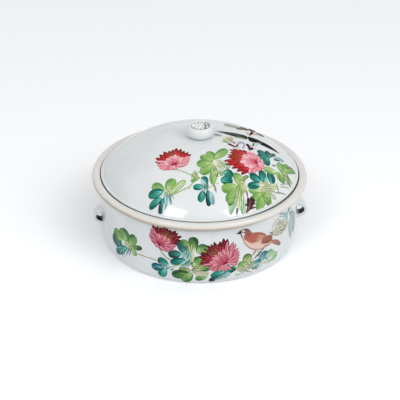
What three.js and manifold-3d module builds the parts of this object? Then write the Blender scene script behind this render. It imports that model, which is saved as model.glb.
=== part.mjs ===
// Round porcelain box with a domed lid, as potters build it: a thrown box with a galleried rim,
// two luted strap lugs, a domed lid, its bun-shaped knob and the moulded floret set in the knob.
// Lengths are millimetres and +Z is up. The origin is the centre of the foot ring, on the
// surface that the box stands on. The front faces -Y, and the lugs stand left and right.
import * as THREE from "three";
import { mergeVertices } from "three/addons/utils/BufferGeometryUtils.js";
import Module from "manifold-3d";

// Wall, foot and floor of the box
const wallRadius = 101.9; // outside of the straight wall
const wallThickness = 4.7;
const footRadius = 94.7; // outside of the ring that touches the table
const footWidth = 7.7;
const lowerCurveHeight = 14.6; // where the straight wall begins
const lowerCurveExponent = 3; // super-ellipse exponent of the rounded bottom edge
const baseRecess = 3.0; // height of the base's underside above the table
const baseThickness = 5.0;
const recessSlope = 1.2; // run of the foot ring's inner slope
const floorFilletRadius = 9.0;

// Galleried rim of the box
const rimRadius = 110.0; // widest circle of the rim
const rimTop = 73.4;
const rimNoseRadius = 3.4; // rounding of the rim's outer edge
const rimInnerRound = 1.2;
const coveHeight = 6.1; // hollow moulding between the rim's underside and the wall
const ledgeHeight = 69.2; // the unglazed ledge that carries the lid

// Fits between the pieces
const seatGap = 0.3; // between the ledge and the lid, and between luted pieces
const seamWidth = 1.2; // open seam between lid and rim

// Lid
const lidEdgeThickness = 4.2;
const lidBeadWidth = 2.4; // rounded bead outside the dome
const lidBeadRound = 1.2;
const domeRise = 38.5; // from the bead to the crown
const domeShoulder = 7.6; // how far the flattened ellipse of the dome would reach beyond its edge
const domeDip = 0.1; // crease between bead and dome
const lidThickness = 4.6;

// Knob and its floret
const knobRadius = 14.3;
const knobNeckRadius = 9.0;
const knobHeight = 12.5;
const knobNeckHeight = 1.5;
const knobSeatMargin = 0.6; // flat seat of the lid outside the knob's neck
const knobRimWidth = 3.7; // from the widest circle in to the crest
const knobRecessRadius = 9.5;
const knobRecessDepth = 3.0;
const floretRadius = 7.7;
const floretHeight = 2.2;
const floretPetals = 12; // a count
const floretEyeRadius = 2.4;

// Lugs
const lugReach = 8.5; // how far a lug stands out of the wall
const lugHeight = 19.0;
const lugWidth = 11.0;
const lugStrap = 3.0; // thickness of the clay strap where it stands out furthest
const lugEnd = 4.3; // its thickness at the wall
const lugMiddle = 28.5; // height of the lug's centre
const lugForward = 3.0; // degrees from the X axis round to the front, by hand and eye
const lugEdgeRound = 1.0;
const lugRoot = 2.0; // how far the outline runs into the wall before it is cut

// Steps round the pieces
const largeTurns = 64;
const smallTurns = 36;

const wasm = await Module();
wasm.setup();

const glaze = { color: 0xe9edee, roughness: 0.12, metalness: 0 };
const warmGlaze = { color: 0xe8e4dc, roughness: 0.2, metalness: 0 };

/** Points on an elliptical arc, from one angle to another, in degrees. */
function arc(centreR, centreZ, halfR, halfZ, from, to, steps) {
  const points = [];
  for (let i = 0; i <= steps; i++) {
    const angle = THREE.MathUtils.degToRad(from + ((to - from) * i) / steps);
    points.push([centreR + halfR * Math.cos(angle), centreZ + halfZ * Math.sin(angle)]);
  }
  return points;
}

/** A profile of [radius, height] pairs turned round the Z axis. */
function turned(profile, turns) {
  const points = profile.map(([r, z]) => new THREE.Vector2(r, z));
  return new THREE.LatheGeometry(points, turns).rotateX(Math.PI / 2);
}

/** A closed geometry as a solid that can be cut and joined. */
function solid(geometry) {
  const bare = geometry.index ? geometry.toNonIndexed() : geometry.clone();
  bare.deleteAttribute("normal");
  bare.deleteAttribute("uv");
  const merged = mergeVertices(bare, 1e-4);
  return new wasm.Manifold(
    new wasm.Mesh({
      numProp: 3,
      vertProperties: merged.attributes.position.array,
      triVerts: new Uint32Array(merged.index.array),
    }),
  );
}

/** A cut or joined solid as a geometry again. */
function geometryOf(made) {
  const mesh = made.getMesh();
  const geometry = new THREE.BufferGeometry();
  geometry.setAttribute("position", new THREE.BufferAttribute(mesh.vertProperties, 3));
  geometry.setIndex(new THREE.BufferAttribute(mesh.triVerts, 1));
  geometry.computeVertexNormals();
  return geometry;
}

function piece(name, geometry, finish) {
  const mesh = new THREE.Mesh(geometry, new THREE.MeshStandardMaterial(finish));
  mesh.name = name;
  return mesh;
}

// Radii and heights that follow from the driving sizes
const innerWallRadius = wallRadius - wallThickness;
const floorHeight = baseRecess + baseThickness;
const noseRadius = rimRadius - rimNoseRadius;
const noseHeight = rimTop - rimNoseRadius;
const galleryRadius = wallRadius + 0.1;
const lidRadius = galleryRadius - seamWidth;
const lidUnderside = ledgeHeight + seatGap;
const beadTop = lidUnderside + lidEdgeThickness + lidBeadRound / 4;
const domeEdgeRadius = lidRadius - lidBeadWidth;
const domeEdgeHeight = beadTop - domeDip;
const domeHalfWidth = domeEdgeRadius + domeShoulder;
const domeHalfHeight = domeRise / (1 - Math.sqrt(1 - (domeEdgeRadius / domeHalfWidth) ** 2));
const domeCentre = domeEdgeHeight + domeRise - domeHalfHeight;
const knobSeatRadius = knobNeckRadius + knobSeatMargin;
const knobSeat = domeCentre + domeHalfHeight * Math.sqrt(1 - (knobSeatRadius / domeHalfWidth) ** 2);

/** The box, thrown in one: foot ring, rounded bottom edge, wall, galleried rim and floor. */
function makeBox() {
  const footInner = footRadius - footWidth;
  const profile = [
    [0, baseRecess],
    [footInner - recessSlope, baseRecess],
    [footInner, 0],
  ];
  const lowerSteps = 8;
  for (let i = 0; i <= lowerSteps; i++) {
    const angle = (Math.PI / 2) * (1 - i / lowerSteps);
    const share = 2 / lowerCurveExponent;
    profile.push([
      footRadius + (wallRadius - footRadius) * Math.cos(angle) ** share,
      lowerCurveHeight * (1 - Math.sin(angle) ** share),
    ]);
  }
  const coveTop = noseHeight - rimNoseRadius;
  profile.push(
    ...arc(noseRadius, coveTop - coveHeight, noseRadius - wallRadius, coveHeight, 180, 90, 5),
    ...arc(noseRadius, noseHeight, rimNoseRadius, rimNoseRadius, -90, 90, 8).slice(1),
    ...arc(galleryRadius + rimInnerRound, rimTop - rimInnerRound, rimInnerRound, rimInnerRound, 90, 180, 3),
    [galleryRadius, ledgeHeight],
    [innerWallRadius, ledgeHeight],
    ...arc(
      innerWallRadius - floorFilletRadius,
      floorHeight + floorFilletRadius,
      floorFilletRadius,
      floorFilletRadius,
      0,
      -90,
      4,
    ),
    [0, floorHeight],
  );
  return turned(profile, largeTurns);
}

/** The lid: a flattened dome of even thickness with a rounded bead and a flat seat for the knob. */
function makeLid() {
  const outerEnd = THREE.MathUtils.radToDeg(Math.acos(knobSeatRadius / domeHalfWidth));
  const outerStart = THREE.MathUtils.radToDeg(Math.acos(domeEdgeRadius / domeHalfWidth));
  const innerHalfWidth = domeHalfWidth - lidThickness;
  const innerHalfHeight = domeHalfHeight - lidThickness;
  const innerStart = THREE.MathUtils.radToDeg(Math.asin((lidUnderside - domeCentre) / innerHalfHeight));
  const beadCentre = lidRadius - lidBeadRound;
  return turned(
    [
      ...arc(0, domeCentre, innerHalfWidth, innerHalfHeight, 90, innerStart, 10),
      [lidRadius, lidUnderside],
      ...arc(beadCentre, beadTop - lidBeadRound, lidBeadRound, lidBeadRound, 0, 90, 3),
      ...arc(0, domeCentre, domeHalfWidth, domeHalfHeight, outerStart, outerEnd, 12),
      [0, knobSeat],
    ],
    largeTurns,
  );
}

/** The knob: a bun on a short neck, its top turned out to a round recess. */
function makeKnob() {
  const top = knobSeat + knobHeight;
  const bunBottom = knobSeat + knobNeckHeight;
  const bunMiddle = (top + bunBottom) / 2;
  const crest = knobRadius - knobRimWidth;
  const lip = crest - knobRecessRadius;
  return turned(
    [
      [0, knobSeat],
      [knobNeckRadius, knobSeat],
      [knobNeckRadius, bunBottom],
      ...arc(crest, bunMiddle, knobRimWidth, top - bunMiddle, -90, 90, 10),
      ...arc(crest, top - lip, lip, lip, 90, 180, 3).slice(1),
      [knobRecessRadius, top - knobRecessDepth],
      [0, top - knobRecessDepth],
    ],
    smallTurns,
  );
}

/** The floret: a moulded disc whose top swells into petals round a raised eye. */
function makeFloret() {
  const base = knobSeat + knobHeight - knobRecessDepth;
  const rings = 6;
  const turns = floretPetals * 4;
  const positions = [0, 0, base, 0, 0, base + floretHeight];
  const triangles = [];
  const heightAt = (share, angle) => {
    const petal = 0.5 + 0.5 * Math.cos(floretPetals * angle);
    const outer = Math.sin(Math.PI * Math.min(1, Math.max(0, (share - 0.28) / 0.72)) ** 0.8);
    const eye = Math.max(0, 1 - (share * floretRadius) / floretEyeRadius) ** 0.5;
    return floretHeight * (0.3 + 0.55 * outer * (0.35 + 0.65 * petal) + 0.7 * eye);
  };
  for (let ring = 1; ring <= rings; ring++)
    for (let turn = 0; turn < turns; turn++) {
      const angle = (2 * Math.PI * turn) / turns;
      const share = ring / rings;
      const scallop = 1 - 0.07 * share ** 4 * (1 - Math.cos(floretPetals * angle));
      const r = floretRadius * share * scallop;
      positions.push(r * Math.cos(angle), r * Math.sin(angle), base + heightAt(share, angle));
    }
  for (let turn = 0; turn < turns; turn++) {
    const [x, y] = positions.slice(3 * (2 + (rings - 1) * turns + turn));
    positions.push(x, y, base);
  }
  const at = (ring, turn) => 2 + (ring - 1) * turns + (turn % turns);
  for (let turn = 0; turn < turns; turn++) {
    triangles.push(1, at(1, turn), at(1, turn + 1));
    for (let ring = 1; ring <= rings; ring++) {
      triangles.push(at(ring, turn), at(ring + 1, turn), at(ring + 1, turn + 1));
      triangles.push(at(ring, turn), at(ring + 1, turn + 1), at(ring, turn + 1));
    }
    triangles.push(0, at(rings + 1, turn + 1), at(rings + 1, turn));
  }
  const geometry = new THREE.BufferGeometry();
  geometry.setAttribute("position", new THREE.BufferAttribute(new Float32Array(positions), 3));
  geometry.setIndex(triangles);
  geometry.computeVertexNormals();
  return geometry;
}

/** A lug: a strap of clay bent to a half loop, pressed on the wall at both ends, on the +X side. */
function makeLug() {
  const start = wallRadius - lugRoot;
  const outer = [lugReach + lugRoot, lugHeight / 2];
  const inner = [outer[0] - lugStrap, outer[1] - lugEnd];
  const outline = [
    ...arc(start, lugMiddle, outer[0], outer[1], -90, 90, 14),
    ...arc(start, lugMiddle, inner[0], inner[1], 90, -90, 12),
  ];
  const shape = new THREE.Shape(outline.map(([x, z]) => new THREE.Vector2(x, z)));
  const strap = new THREE.ExtrudeGeometry(shape, {
    depth: lugWidth - 2 * lugEdgeRound,
    bevelEnabled: true,
    bevelThickness: lugEdgeRound,
    bevelSize: lugEdgeRound,
    bevelOffset: -lugEdgeRound,
    bevelSegments: 2,
  });
  strap.rotateX(Math.PI / 2).translate(0, lugWidth / 2 - lugEdgeRound, 0);
  const reachDown = lugMiddle - lugHeight;
  const reachUp = lugMiddle + lugHeight;
  const wall = turned(
    [
      [0, reachDown],
      [wallRadius + seatGap, reachDown],
      [wallRadius + seatGap, reachUp],
      [0, reachUp],
    ],
    largeTurns,
  );
  return geometryOf(solid(strap).subtract(solid(wall)));
}

const forward = THREE.MathUtils.degToRad(lugForward);
const lugGeometry = makeLug();
const lugRight = piece("lug_right", lugGeometry, glaze);
lugRight.rotation.z = -forward;
const lugLeft = piece("lug_left", lugGeometry, glaze);
lugLeft.rotation.z = Math.PI + forward;

const box = new THREE.Group();
box.add(piece("box_body", makeBox(), glaze), lugRight, lugLeft);

const lid = new THREE.Group();
lid.add(
  piece("lid_dome", makeLid(), glaze),
  piece("lid_knob", makeKnob(), glaze),
  piece("knob_floret", makeFloret(), warmGlaze),
);

const part = new THREE.Group();
part.add(box, lid);

export default part;
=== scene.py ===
"""A round porcelain box with a domed lid, dressed over its measured frame.

The box, its lugs, the lid, the knob and the moulded floret are fine smooth surfaces, and the
overglaze painting lies on them stroke by stroke as thin raised enamel. Sizes in the dataclasses
are millimetres. Meshes are metres, in the frame of the model: +Z up, the front towards -Y.
"""

import logging
from dataclasses import dataclass
from enum import Enum
from math import cos, pi, radians, sin
from typing import Callable, Iterable

import bpy
import numpy as np
from mathutils import Matrix, Vector


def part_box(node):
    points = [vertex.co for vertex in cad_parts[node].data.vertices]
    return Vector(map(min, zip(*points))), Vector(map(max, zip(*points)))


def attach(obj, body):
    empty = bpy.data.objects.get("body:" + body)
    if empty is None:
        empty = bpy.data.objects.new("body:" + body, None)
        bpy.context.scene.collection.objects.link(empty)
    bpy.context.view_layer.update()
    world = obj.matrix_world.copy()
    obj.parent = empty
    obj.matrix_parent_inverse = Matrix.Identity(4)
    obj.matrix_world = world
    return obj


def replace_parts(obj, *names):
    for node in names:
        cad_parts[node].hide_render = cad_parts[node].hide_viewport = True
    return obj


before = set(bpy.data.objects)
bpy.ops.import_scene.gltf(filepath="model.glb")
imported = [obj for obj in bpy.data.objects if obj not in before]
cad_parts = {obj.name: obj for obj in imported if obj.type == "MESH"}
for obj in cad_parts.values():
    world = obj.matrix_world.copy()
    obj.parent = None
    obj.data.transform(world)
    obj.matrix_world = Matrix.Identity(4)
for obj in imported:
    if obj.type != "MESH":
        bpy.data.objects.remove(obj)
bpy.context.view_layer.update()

log = logging.getLogger("porcelain_box")

Point = tuple[float, float]
Colour = tuple[float, float, float, float]
Faces = tuple[np.ndarray, np.ndarray]  # vertex numbers of the quads and of the triangles
Skin = tuple[np.ndarray, Faces]  # vertices in millimetres and their faces
MM = 0.001
PAINT = "paint"  # the attribute that holds the strokes' colours
SHARP_ANGLE = radians(38)
GLASS_IOR = 1.5
NOISE_SPAN = (0.3, 0.7)  # where most of a noise's values lie
CORNER_STEPS = 6
LEVELS = 3  # the leaves of a group lie on this many levels, in turn


def linear(code: str) -> Colour:
    """A colour written as six sRGB hex digits, as linear red, green, blue and alpha.

    Each channel c is c / 12.92 up to 0.04045 and ((c + 0.055) / 1.055) ** 2.4 above it.

    Args:
        code: the six digits.

    Returns:
        The four linear values.
    """
    channels = [int(code[i : i + 2], 16) / 255 for i in (0, 2, 4)]
    red, green, blue = (c / 12.92 if c <= 0.04045 else ((c + 0.055) / 1.055) ** 2.4 for c in channels)
    return red, green, blue, 1.0


WHITE = linear("ffffff")
BLACK = linear("000000")


class Wire:
    """One output in a node tree. Arithmetic on it adds Math nodes to the same tree."""

    def __init__(self, shop: "NodeShop", socket: bpy.types.NodeSocket | None) -> None:
        """Wraps an output socket of the tree that the shop builds."""
        self.shop = shop
        self.socket = socket

    def _maths(self, operation: str, *values: "Wire | float") -> "Wire":
        """One Math node on the values, in order."""
        return self.shop.add("ShaderNodeMath", {"operation": operation}, dict(enumerate(values)))

    def __add__(self, other: "Wire | float") -> "Wire":
        """This value plus another."""
        return self._maths("ADD", self, other)

    def __sub__(self, other: "Wire | float") -> "Wire":
        """This value less another."""
        return self._maths("SUBTRACT", self, other)

    def __rsub__(self, other: float) -> "Wire":
        """A number less this value."""
        return self._maths("SUBTRACT", other, self)

    def __mul__(self, other: "Wire | float") -> "Wire":
        """This value times another."""
        return self._maths("MULTIPLY", self, other)

    def __truediv__(self, other: "Wire | float") -> "Wire":
        """This value over another."""
        return self._maths("DIVIDE", self, other)

    def __rtruediv__(self, other: float) -> "Wire":
        """A number over this value."""
        return self._maths("DIVIDE", other, self)

    def __pow__(self, power: float) -> "Wire":
        """This value to a power."""
        return self._maths("POWER", self, power)

    __radd__ = __add__
    __rmul__ = __mul__

    def root(self) -> "Wire":
        """The square root of this value."""
        return self._maths("SQRT", self)

    def most(self, other: "Wire | float") -> "Wire":
        """The larger of this value and another."""
        return self._maths("MAXIMUM", self, other)

    def step(self, low: float, high: float) -> "Wire":
        """A smooth step from 0 at low to 1 at high, which may also be the smaller of the two."""
        return self.shop.add(
            "ShaderNodeMapRange",
            {"interpolation_type": "SMOOTHSTEP"},
            {"Value": self, "From Min": low, "From Max": high},
        )

    def band(self, low: float, high: float, soft: float) -> "Wire":
        """1 between low and high and 0 outside, with edges that are soft wide."""
        return self.step(low - soft, low + soft) * self.step(high + soft, high - soft)


class NodeShop:
    """Builds one node tree. Every node comes from add()."""

    def __init__(self, tree: bpy.types.NodeTree) -> None:
        """Empties the tree, ready to be built."""
        self.tree = tree
        tree.nodes.clear()

    def add(
        self,
        kind: str,
        settings: dict[str, object] | None = None,
        inputs: dict[str | int, "Wire | object"] | None = None,
        output: str | int = 0,
    ) -> Wire:
        """Adds one node.

        Args:
            kind: the node's type.
            settings: its own settings, set before its sockets.
            inputs: a value or a Wire for each socket, by name or place.
            output: the output that is wanted.

        Returns:
            That output, or an empty Wire for a node that has none.
        """
        node = self.tree.nodes.new(kind)
        for name, value in (settings or {}).items():
            setattr(node, name, value)
        for key, value in (inputs or {}).items():
            if isinstance(value, Wire):
                self.tree.links.new(value.socket, node.inputs[key])
            else:
                node.inputs[key].default_value = value
        return Wire(self, node.outputs[output] if len(node.outputs) else None)

    def mix(self, factor: Wire | float, under: Wire | Colour, over: Wire | Colour) -> Wire:
        """A colour between under, at 0, and over, at 1."""
        return self.add("ShaderNodeMix", {"data_type": "RGBA"}, {0: factor, 6: under, 7: over}, 2)

    def tinted(self, colour: Wire | Colour, by: Wire | Colour) -> Wire:
        """One colour multiplied by another."""
        settings = {"data_type": "RGBA", "blend_type": "MULTIPLY"}
        return self.add("ShaderNodeMix", settings, {0: 1.0, 6: colour, 7: by}, 2)

    def noise(self, at: Wire, size: float, detail: float = 2.0) -> Wire:
        """Smooth noise from 0 to 1 whose lumps are about size millimetres across."""
        inputs = {"Vector": at, "Scale": 1 / (size * MM), "Detail": detail}
        return self.add("ShaderNodeTexNoise", {"noise_dimensions": "3D"}, inputs)

    def bump(self, height: Wire, depth: float) -> Wire:
        """The normal of a surface that stands out by height times depth millimetres."""
        inputs = {"Strength": 1.0, "Distance": depth * MM, "Height": height}
        return self.add("ShaderNodeBump", None, inputs)

    def surface(self, sockets: dict[str, object]) -> None:
        """A Principled shader with these values or links, joined to the material's output."""
        shader = self.add("ShaderNodeBsdfPrincipled", None, sockets)
        self.add("ShaderNodeOutputMaterial", None, {"Surface": shader})


class Place:
    """Where a point of a piece lies, in millimetres, and noises on it, for the masks of zones."""

    def __init__(self, shop: NodeShop) -> None:
        """Adds the coordinate nodes to a material's tree."""
        self.shop = shop
        self.point = shop.add("ShaderNodeTexCoord", output="Object")
        split = [shop.add("ShaderNodeSeparateXYZ", None, {0: self.point}, i) for i in range(3)]
        self.x, self.y, self.z = (axis / MM for axis in split)
        self.r = (self.x * self.x + self.y * self.y).root()

    def ragged(self, size: float) -> Wire:
        """Noise centred on 0, from about -1 to 1, that makes an edge uneven."""
        return (self.shop.noise(self.point, size, 3.0) - 0.5) * 3.0


@dataclass(frozen=True)
class WearAndShadeBand:
    """A ragged band round a turned piece, which weakens towards the right: wear on the rim, and painted shade
    in the cove and under the rim's nose.
    """

    radii: Point  # it starts at the first and is full from the second
    heights: Point
    soft: float
    strays: float
    strength: float
    weaker: float
    across: Point  # it weakens from the first of these places to the second
    rag: float = 9.0

    def mask(self, p: Place, raised: Wire | float = 0.0) -> Wire:
        """The band's mask: the shares of radius and height, times the strength that is left.

        Args:
            p: where the point lies.
            raised: how much higher than its heights the band lies there.

        Returns:
            A value from 0 to the strength.
        """
        level = (p.z + p.ragged(self.rag) * self.strays - raised).band(*self.heights, self.soft)
        return p.r.step(*self.radii) * level * (self.strength - p.x.step(*self.across) * self.weaker)


class Stain(Enum):
    """The colour and the roughness of each stretch that is bare, worn or dirty, or that carries painted
    shade.
    """

    RIM_FACE = ("e4e3e0", 0.14)
    RIM_BLUSH = ("e9d8c6", 0.4)
    # the bare rim edge, darkened further by painted shade under the nose
    RIM_EDGE = ("b5a897", 0.5)
    # painted shade in the cove under the rim's nose
    UNDER_RIM_SHADE = ("b0a798", 0.4)
    LEDGE = ("b5a996", 0.7)
    # painted shade in the gap between the rim and the lid
    SEAM_SHADE = ("1c1a1c", 0.7)
    FOOT = ("d6cdbf", 0.7)
    # painted shade on the wall behind the lugs
    LUG_ROOT_SHADE = ("2c2622", 0.5)
    # dark stain in the lug loops, with painted shade nearer the wall
    LUG_LOOP = ("1c1714", 0.45)
    LID_FLANGE = ("cfc5b6", 0.65)
    # painted shade on the lid's bead, in the gap round the lid
    LID_BEAD_SHADE = ("3c3836", 0.6)
    # painted shade low in the knob's recess at the right
    RECESS_RIGHT_SHADE = ("4a443e", 0.6)
    # painted shade at the front of the knob's recess
    RECESS_FRONT_SHADE = ("5a5852", 0.5)
    # painted shade where the knob's neck meets the lid
    KNOB_NECK_SHADE = ("b9b4ac", 0.35)
    # painted shade in the floret's hollows
    FLORET_HOLLOW_SHADE = ("46423c", 0.6)


@dataclass(frozen=True)
class Zone:
    """A stretch of a piece with a colour of its own, a real stain in some zones and painted shade in others,
    and the mask that says where it lies.
    """

    stain: Stain
    mask: Callable[[Place], Wire]


def new_material(name: str) -> tuple[bpy.types.Material, NodeShop, Place]:
    """Adds a material with an empty node tree.

    Args:
        name: its name.

    Returns:
        The material, the shop that builds its nodes and the places that its masks read.
    """
    material = bpy.data.materials.new(name)
    material.use_nodes = True
    shop = NodeShop(material.node_tree)
    return material, shop, Place(shop)


@dataclass(frozen=True)
class Glaze:
    """Clear glossy glaze over white clay: a faint slow mottle, orange peel and rare iron specks."""

    tint: str = "e9edef"
    deep: str = "e1e6e8"
    speck: str = "6b5646"
    roughness: float = 0.1
    unevenness: float = 0.03
    peel_size: float = 2.6
    peel_depth: float = 0.006
    wave_size: float = 26.0
    wave_depth: float = 0.10
    speck_cell: float = 24.0
    speck_size: float = 0.30
    speck_edge: Point = (1.6, 0.7)
    speck_strength: float = 0.7

    def material(self, name: str, zones: Iterable[Zone] = ()) -> bpy.types.Material:
        """The glaze as a material.

        Args:
            name: the material's name.
            zones: stretches with a colour and roughness of their own, laid on in order.

        Returns:
            The new material.
        """
        material, shop, place = new_material(name)
        mottle = shop.noise(place.point, self.wave_size, 4.0)
        colour = shop.mix(mottle.step(*NOISE_SPAN), linear(self.deep), linear(self.tint))
        cell = {"Vector": place.point, "Scale": 1 / (self.speck_cell * MM)}
        begins, full = (self.speck_size / self.speck_cell * edge for edge in self.speck_edge)
        spot = shop.add("ShaderNodeTexVoronoi", None, cell, "Distance").step(begins, full)
        colour = shop.mix(spot * self.speck_strength, colour, linear(self.speck))
        rough = mottle * self.unevenness + (self.roughness - self.unevenness / 2)
        for zone in zones:
            tint, roughness = zone.stain.value
            mask = zone.mask(place)
            colour = shop.mix(mask, colour, linear(tint))
            rough = rough + (roughness - rough) * mask
        peel = shop.noise(place.point, self.peel_size, 1.0) * (self.peel_depth / self.wave_depth)
        wave = shop.noise(place.point, self.wave_size, 0.0)
        shop.surface({
            "Base Color": colour,
            "Roughness": rough,
            "IOR": GLASS_IOR,
            "Normal": shop.bump(wave + peel, self.wave_depth),
        })
        return material


@dataclass(frozen=True)
class Enamel:
    """Overglaze enamel: glassy, a little uneven, in the colours that the strokes carry."""

    roughness: float = 0.2
    unevenness: float = 0.1
    shine: float = 0.15
    grain: float = 0.9
    streak: float = 0.12
    depth: float = 0.015

    def material(self, name: str) -> bpy.types.Material:
        """The enamel as a material that reads the strokes' own colours.

        Args:
            name: the material's name.

        Returns:
            The new material.
        """
        material, shop, place = new_material(name)
        grain = shop.noise(place.point, self.grain, 3.0)
        paint = shop.add("ShaderNodeAttribute", {"attribute_name": PAINT}, None, "Color")
        deeper = shop.mix(grain.step(*NOISE_SPAN) * self.streak, WHITE, BLACK)
        shop.surface({
            "Base Color": shop.tinted(paint, deeper),
            "Roughness": grain * self.unevenness + (self.roughness - self.unevenness / 2),
            "IOR": GLASS_IOR,
            "Specular IOR Level": self.shine,
            "Normal": shop.bump(grain, self.depth),
        })
        return material


def skin_faces(rows: int, columns: int) -> Faces:
    """Faces of a closed skin: a grid whose columns wrap, with a fan to a pole at both ends.

    Vertices are numbered row by row, then the first pole and the last one. Faces point outwards
    where the direction along a row, crossed with the direction from row to row, does.

    Args:
        rows: rings of the grid.
        columns: points of each ring.

    Returns:
        The quads and the triangles, as vertex numbers.
    """
    start = np.arange(rows - 1)[:, None] * columns
    here = np.arange(columns)
    beside = (here + 1) % columns
    corners = [start + here, start + beside, start + columns + beside, start + columns + here]
    quads = np.stack(corners, -1).reshape(-1, 4)
    poles = np.full(columns, rows * columns)
    last = (rows - 1) * columns
    fans = [np.stack([poles, beside, here], -1), np.stack([poles + 1, last + here, last + beside], -1)]
    return quads, np.concatenate(fans)


def add_piece(
    name: str,
    vertices: np.ndarray,
    faces: Faces,
    material: bpy.types.Material,
    body: str,
    slot: str,
) -> bpy.types.Object:
    """Makes one smooth mesh object that rides on a body.

    Args:
        name: the piece's name.
        vertices: an array of places in millimetres.
        faces: vertex numbers of the quads and of the triangles.
        material: what it is made of.
        body: the body that it moves with.
        slot: not used; it names the record's material slot.

    Returns:
        The new object.
    """
    mesh = bpy.data.meshes.new(name)
    mesh.from_pydata((vertices * MM).tolist(), [], [face for group in faces for face in group.tolist()])
    mesh.polygons.foreach_set("use_smooth", np.ones(len(mesh.polygons), bool))
    mesh.set_sharp_from_angle(angle=SHARP_ANGLE)
    mesh.materials.append(material)
    piece = bpy.data.objects.new(name, mesh)
    bpy.context.scene.collection.objects.link(piece)
    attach(piece, body)
    log.info("%s: %d faces on %s", name, len(mesh.polygons), body)
    return piece


def arc(centre: Point, radii: Point, start: float, end: float, steps: int) -> np.ndarray:
    """Points on an elliptical arc.

    Each point is the centre plus the two radii times the cosine and sine of its angle.

    Args:
        centre: radius and height of the arc's centre.
        radii: its half-width and half-height.
        start: first angle in degrees.
        end: last angle in degrees.
        steps: how many steps it takes.

    Returns:
        An array of radius and height pairs.
    """
    angle = np.radians(np.linspace(start, end, steps + 1))
    return np.stack([centre[0] + radii[0] * np.cos(angle), centre[1] + radii[1] * np.sin(angle)], -1)


def rounded(before: Point, corner: Point, after: Point, radius: float) -> np.ndarray:
    """A corner of a profile as a quadratic curve that starts and ends radius away from it.

    The point at t is (1 - t)^2 times the start, plus 2t(1 - t) times the corner, plus t^2 times
    the end.

    Args:
        before: the point that the profile comes from.
        corner: the corner.
        after: the point that it goes on to.
        radius: how far the curve reaches each way.

    Returns:
        An array of radius and height pairs.
    """
    at, first, last = (np.array(p, float) for p in (corner, before, after))
    first = at + (first - at) * radius / np.linalg.norm(first - at)
    last = at + (last - at) * radius / np.linalg.norm(last - at)
    t = np.linspace(0, 1, CORNER_STEPS + 1)[:, None]
    return (1 - t) ** 2 * first + 2 * t * (1 - t) * at + t**2 * last


def fine(profile: np.ndarray, longest: float) -> np.ndarray:
    """Cuts the long straight stretches of a profile into equal steps.

    A stretch from a to b that takes n steps gets the points a + (b - a) i / n.

    Args:
        profile: radius and height pairs.
        longest: the longest step that may be left.

    Returns:
        The profile with its new points.
    """
    gaps = np.linalg.norm(np.diff(profile, axis=0), axis=1)
    counts = np.maximum(1, np.ceil(gaps / longest).astype(int))
    shares = [np.arange(count) / count for count in counts]
    parts = [a + (b - a) * s[:, None] for a, b, s in zip(profile[:-1], profile[1:], shares)]
    return np.concatenate([*parts, profile[-1:]])


@dataclass(frozen=True)
class Wobble:
    """How far a hand-turned wall is from a true circle: two slow waves round it."""

    oval: float = 0.10
    three: float = 0.06
    phase: float = 0.7

    def at(self, radius: np.ndarray, angle: np.ndarray) -> np.ndarray:
        """The wobbling radius: the true one, plus waves that grow with it towards 100 mm."""
        waves = self.oval * np.cos(2 * angle + self.phase) + self.three * np.cos(3 * angle - self.phase)
        return radius + waves * np.clip(radius / 100, 0, 1)


def turned(profile: np.ndarray, turns: int, wobble: Wobble | None = None) -> Skin:
    """A profile turned round the Z axis to a closed skin.

    The vertex at turn a of profile point (r, z) is (r cos a, r sin a, z). The profile's first and
    last points lie on the axis and become the poles.

    Args:
        profile: radius and height pairs, anticlockwise seen with the axis on the left.
        turns: points round the axis.
        wobble: how the radius strays from a circle.

    Returns:
        The vertices and the faces.
    """
    angle = 2 * pi * np.arange(turns) / turns
    radius, height = profile[1:-1, :1], profile[1:-1, 1:]
    radius = wobble.at(radius, angle) if wobble else radius + 0 * angle
    grid = np.stack([radius * np.cos(angle), radius * np.sin(angle), height + 0 * angle], -1)
    poles = [[0, 0, profile[0, 1]], [0, 0, profile[-1, 1]]]
    return np.concatenate([grid.reshape(-1, 3), poles]), skin_faces(len(grid), turns)


class Nib(Enum):
    """How a stroke swells: its width goes as t ** foot * (1 - t) ** tip from foot to tip."""

    PETAL = (0.9, 0.72)
    LOBE = (0.55, 0.42)
    SPIKE = (0.5, 0.95)
    BLADE = (0.45, 0.8)
    FEATHER = (0.2, 0.8)
    LINE = (0.12, 0.3)
    EVEN = (0.15, 0.15)


@dataclass(frozen=True)
class Stroke:
    """One brush stroke, from foot to tip by way of a bend."""

    foot: Point
    bend: Point
    tip: Point
    half_width: float
    nib: Nib
    colours: tuple[str, str, str]  # at the foot, at the tip and along the edges
    layer: float


class Sheet:
    """A painted surface. Its places are pairs of millimetres."""

    def point(self, place: np.ndarray) -> tuple[np.ndarray, np.ndarray]:
        """The points of the surface at these places, and the outward normals there."""
        raise NotImplementedError

    def lifted(self, place: np.ndarray, lift: np.ndarray) -> np.ndarray:
        """The points that lie lift above the surface at these places."""
        point, normal = self.point(place)
        return point + normal * lift[..., None]


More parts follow.
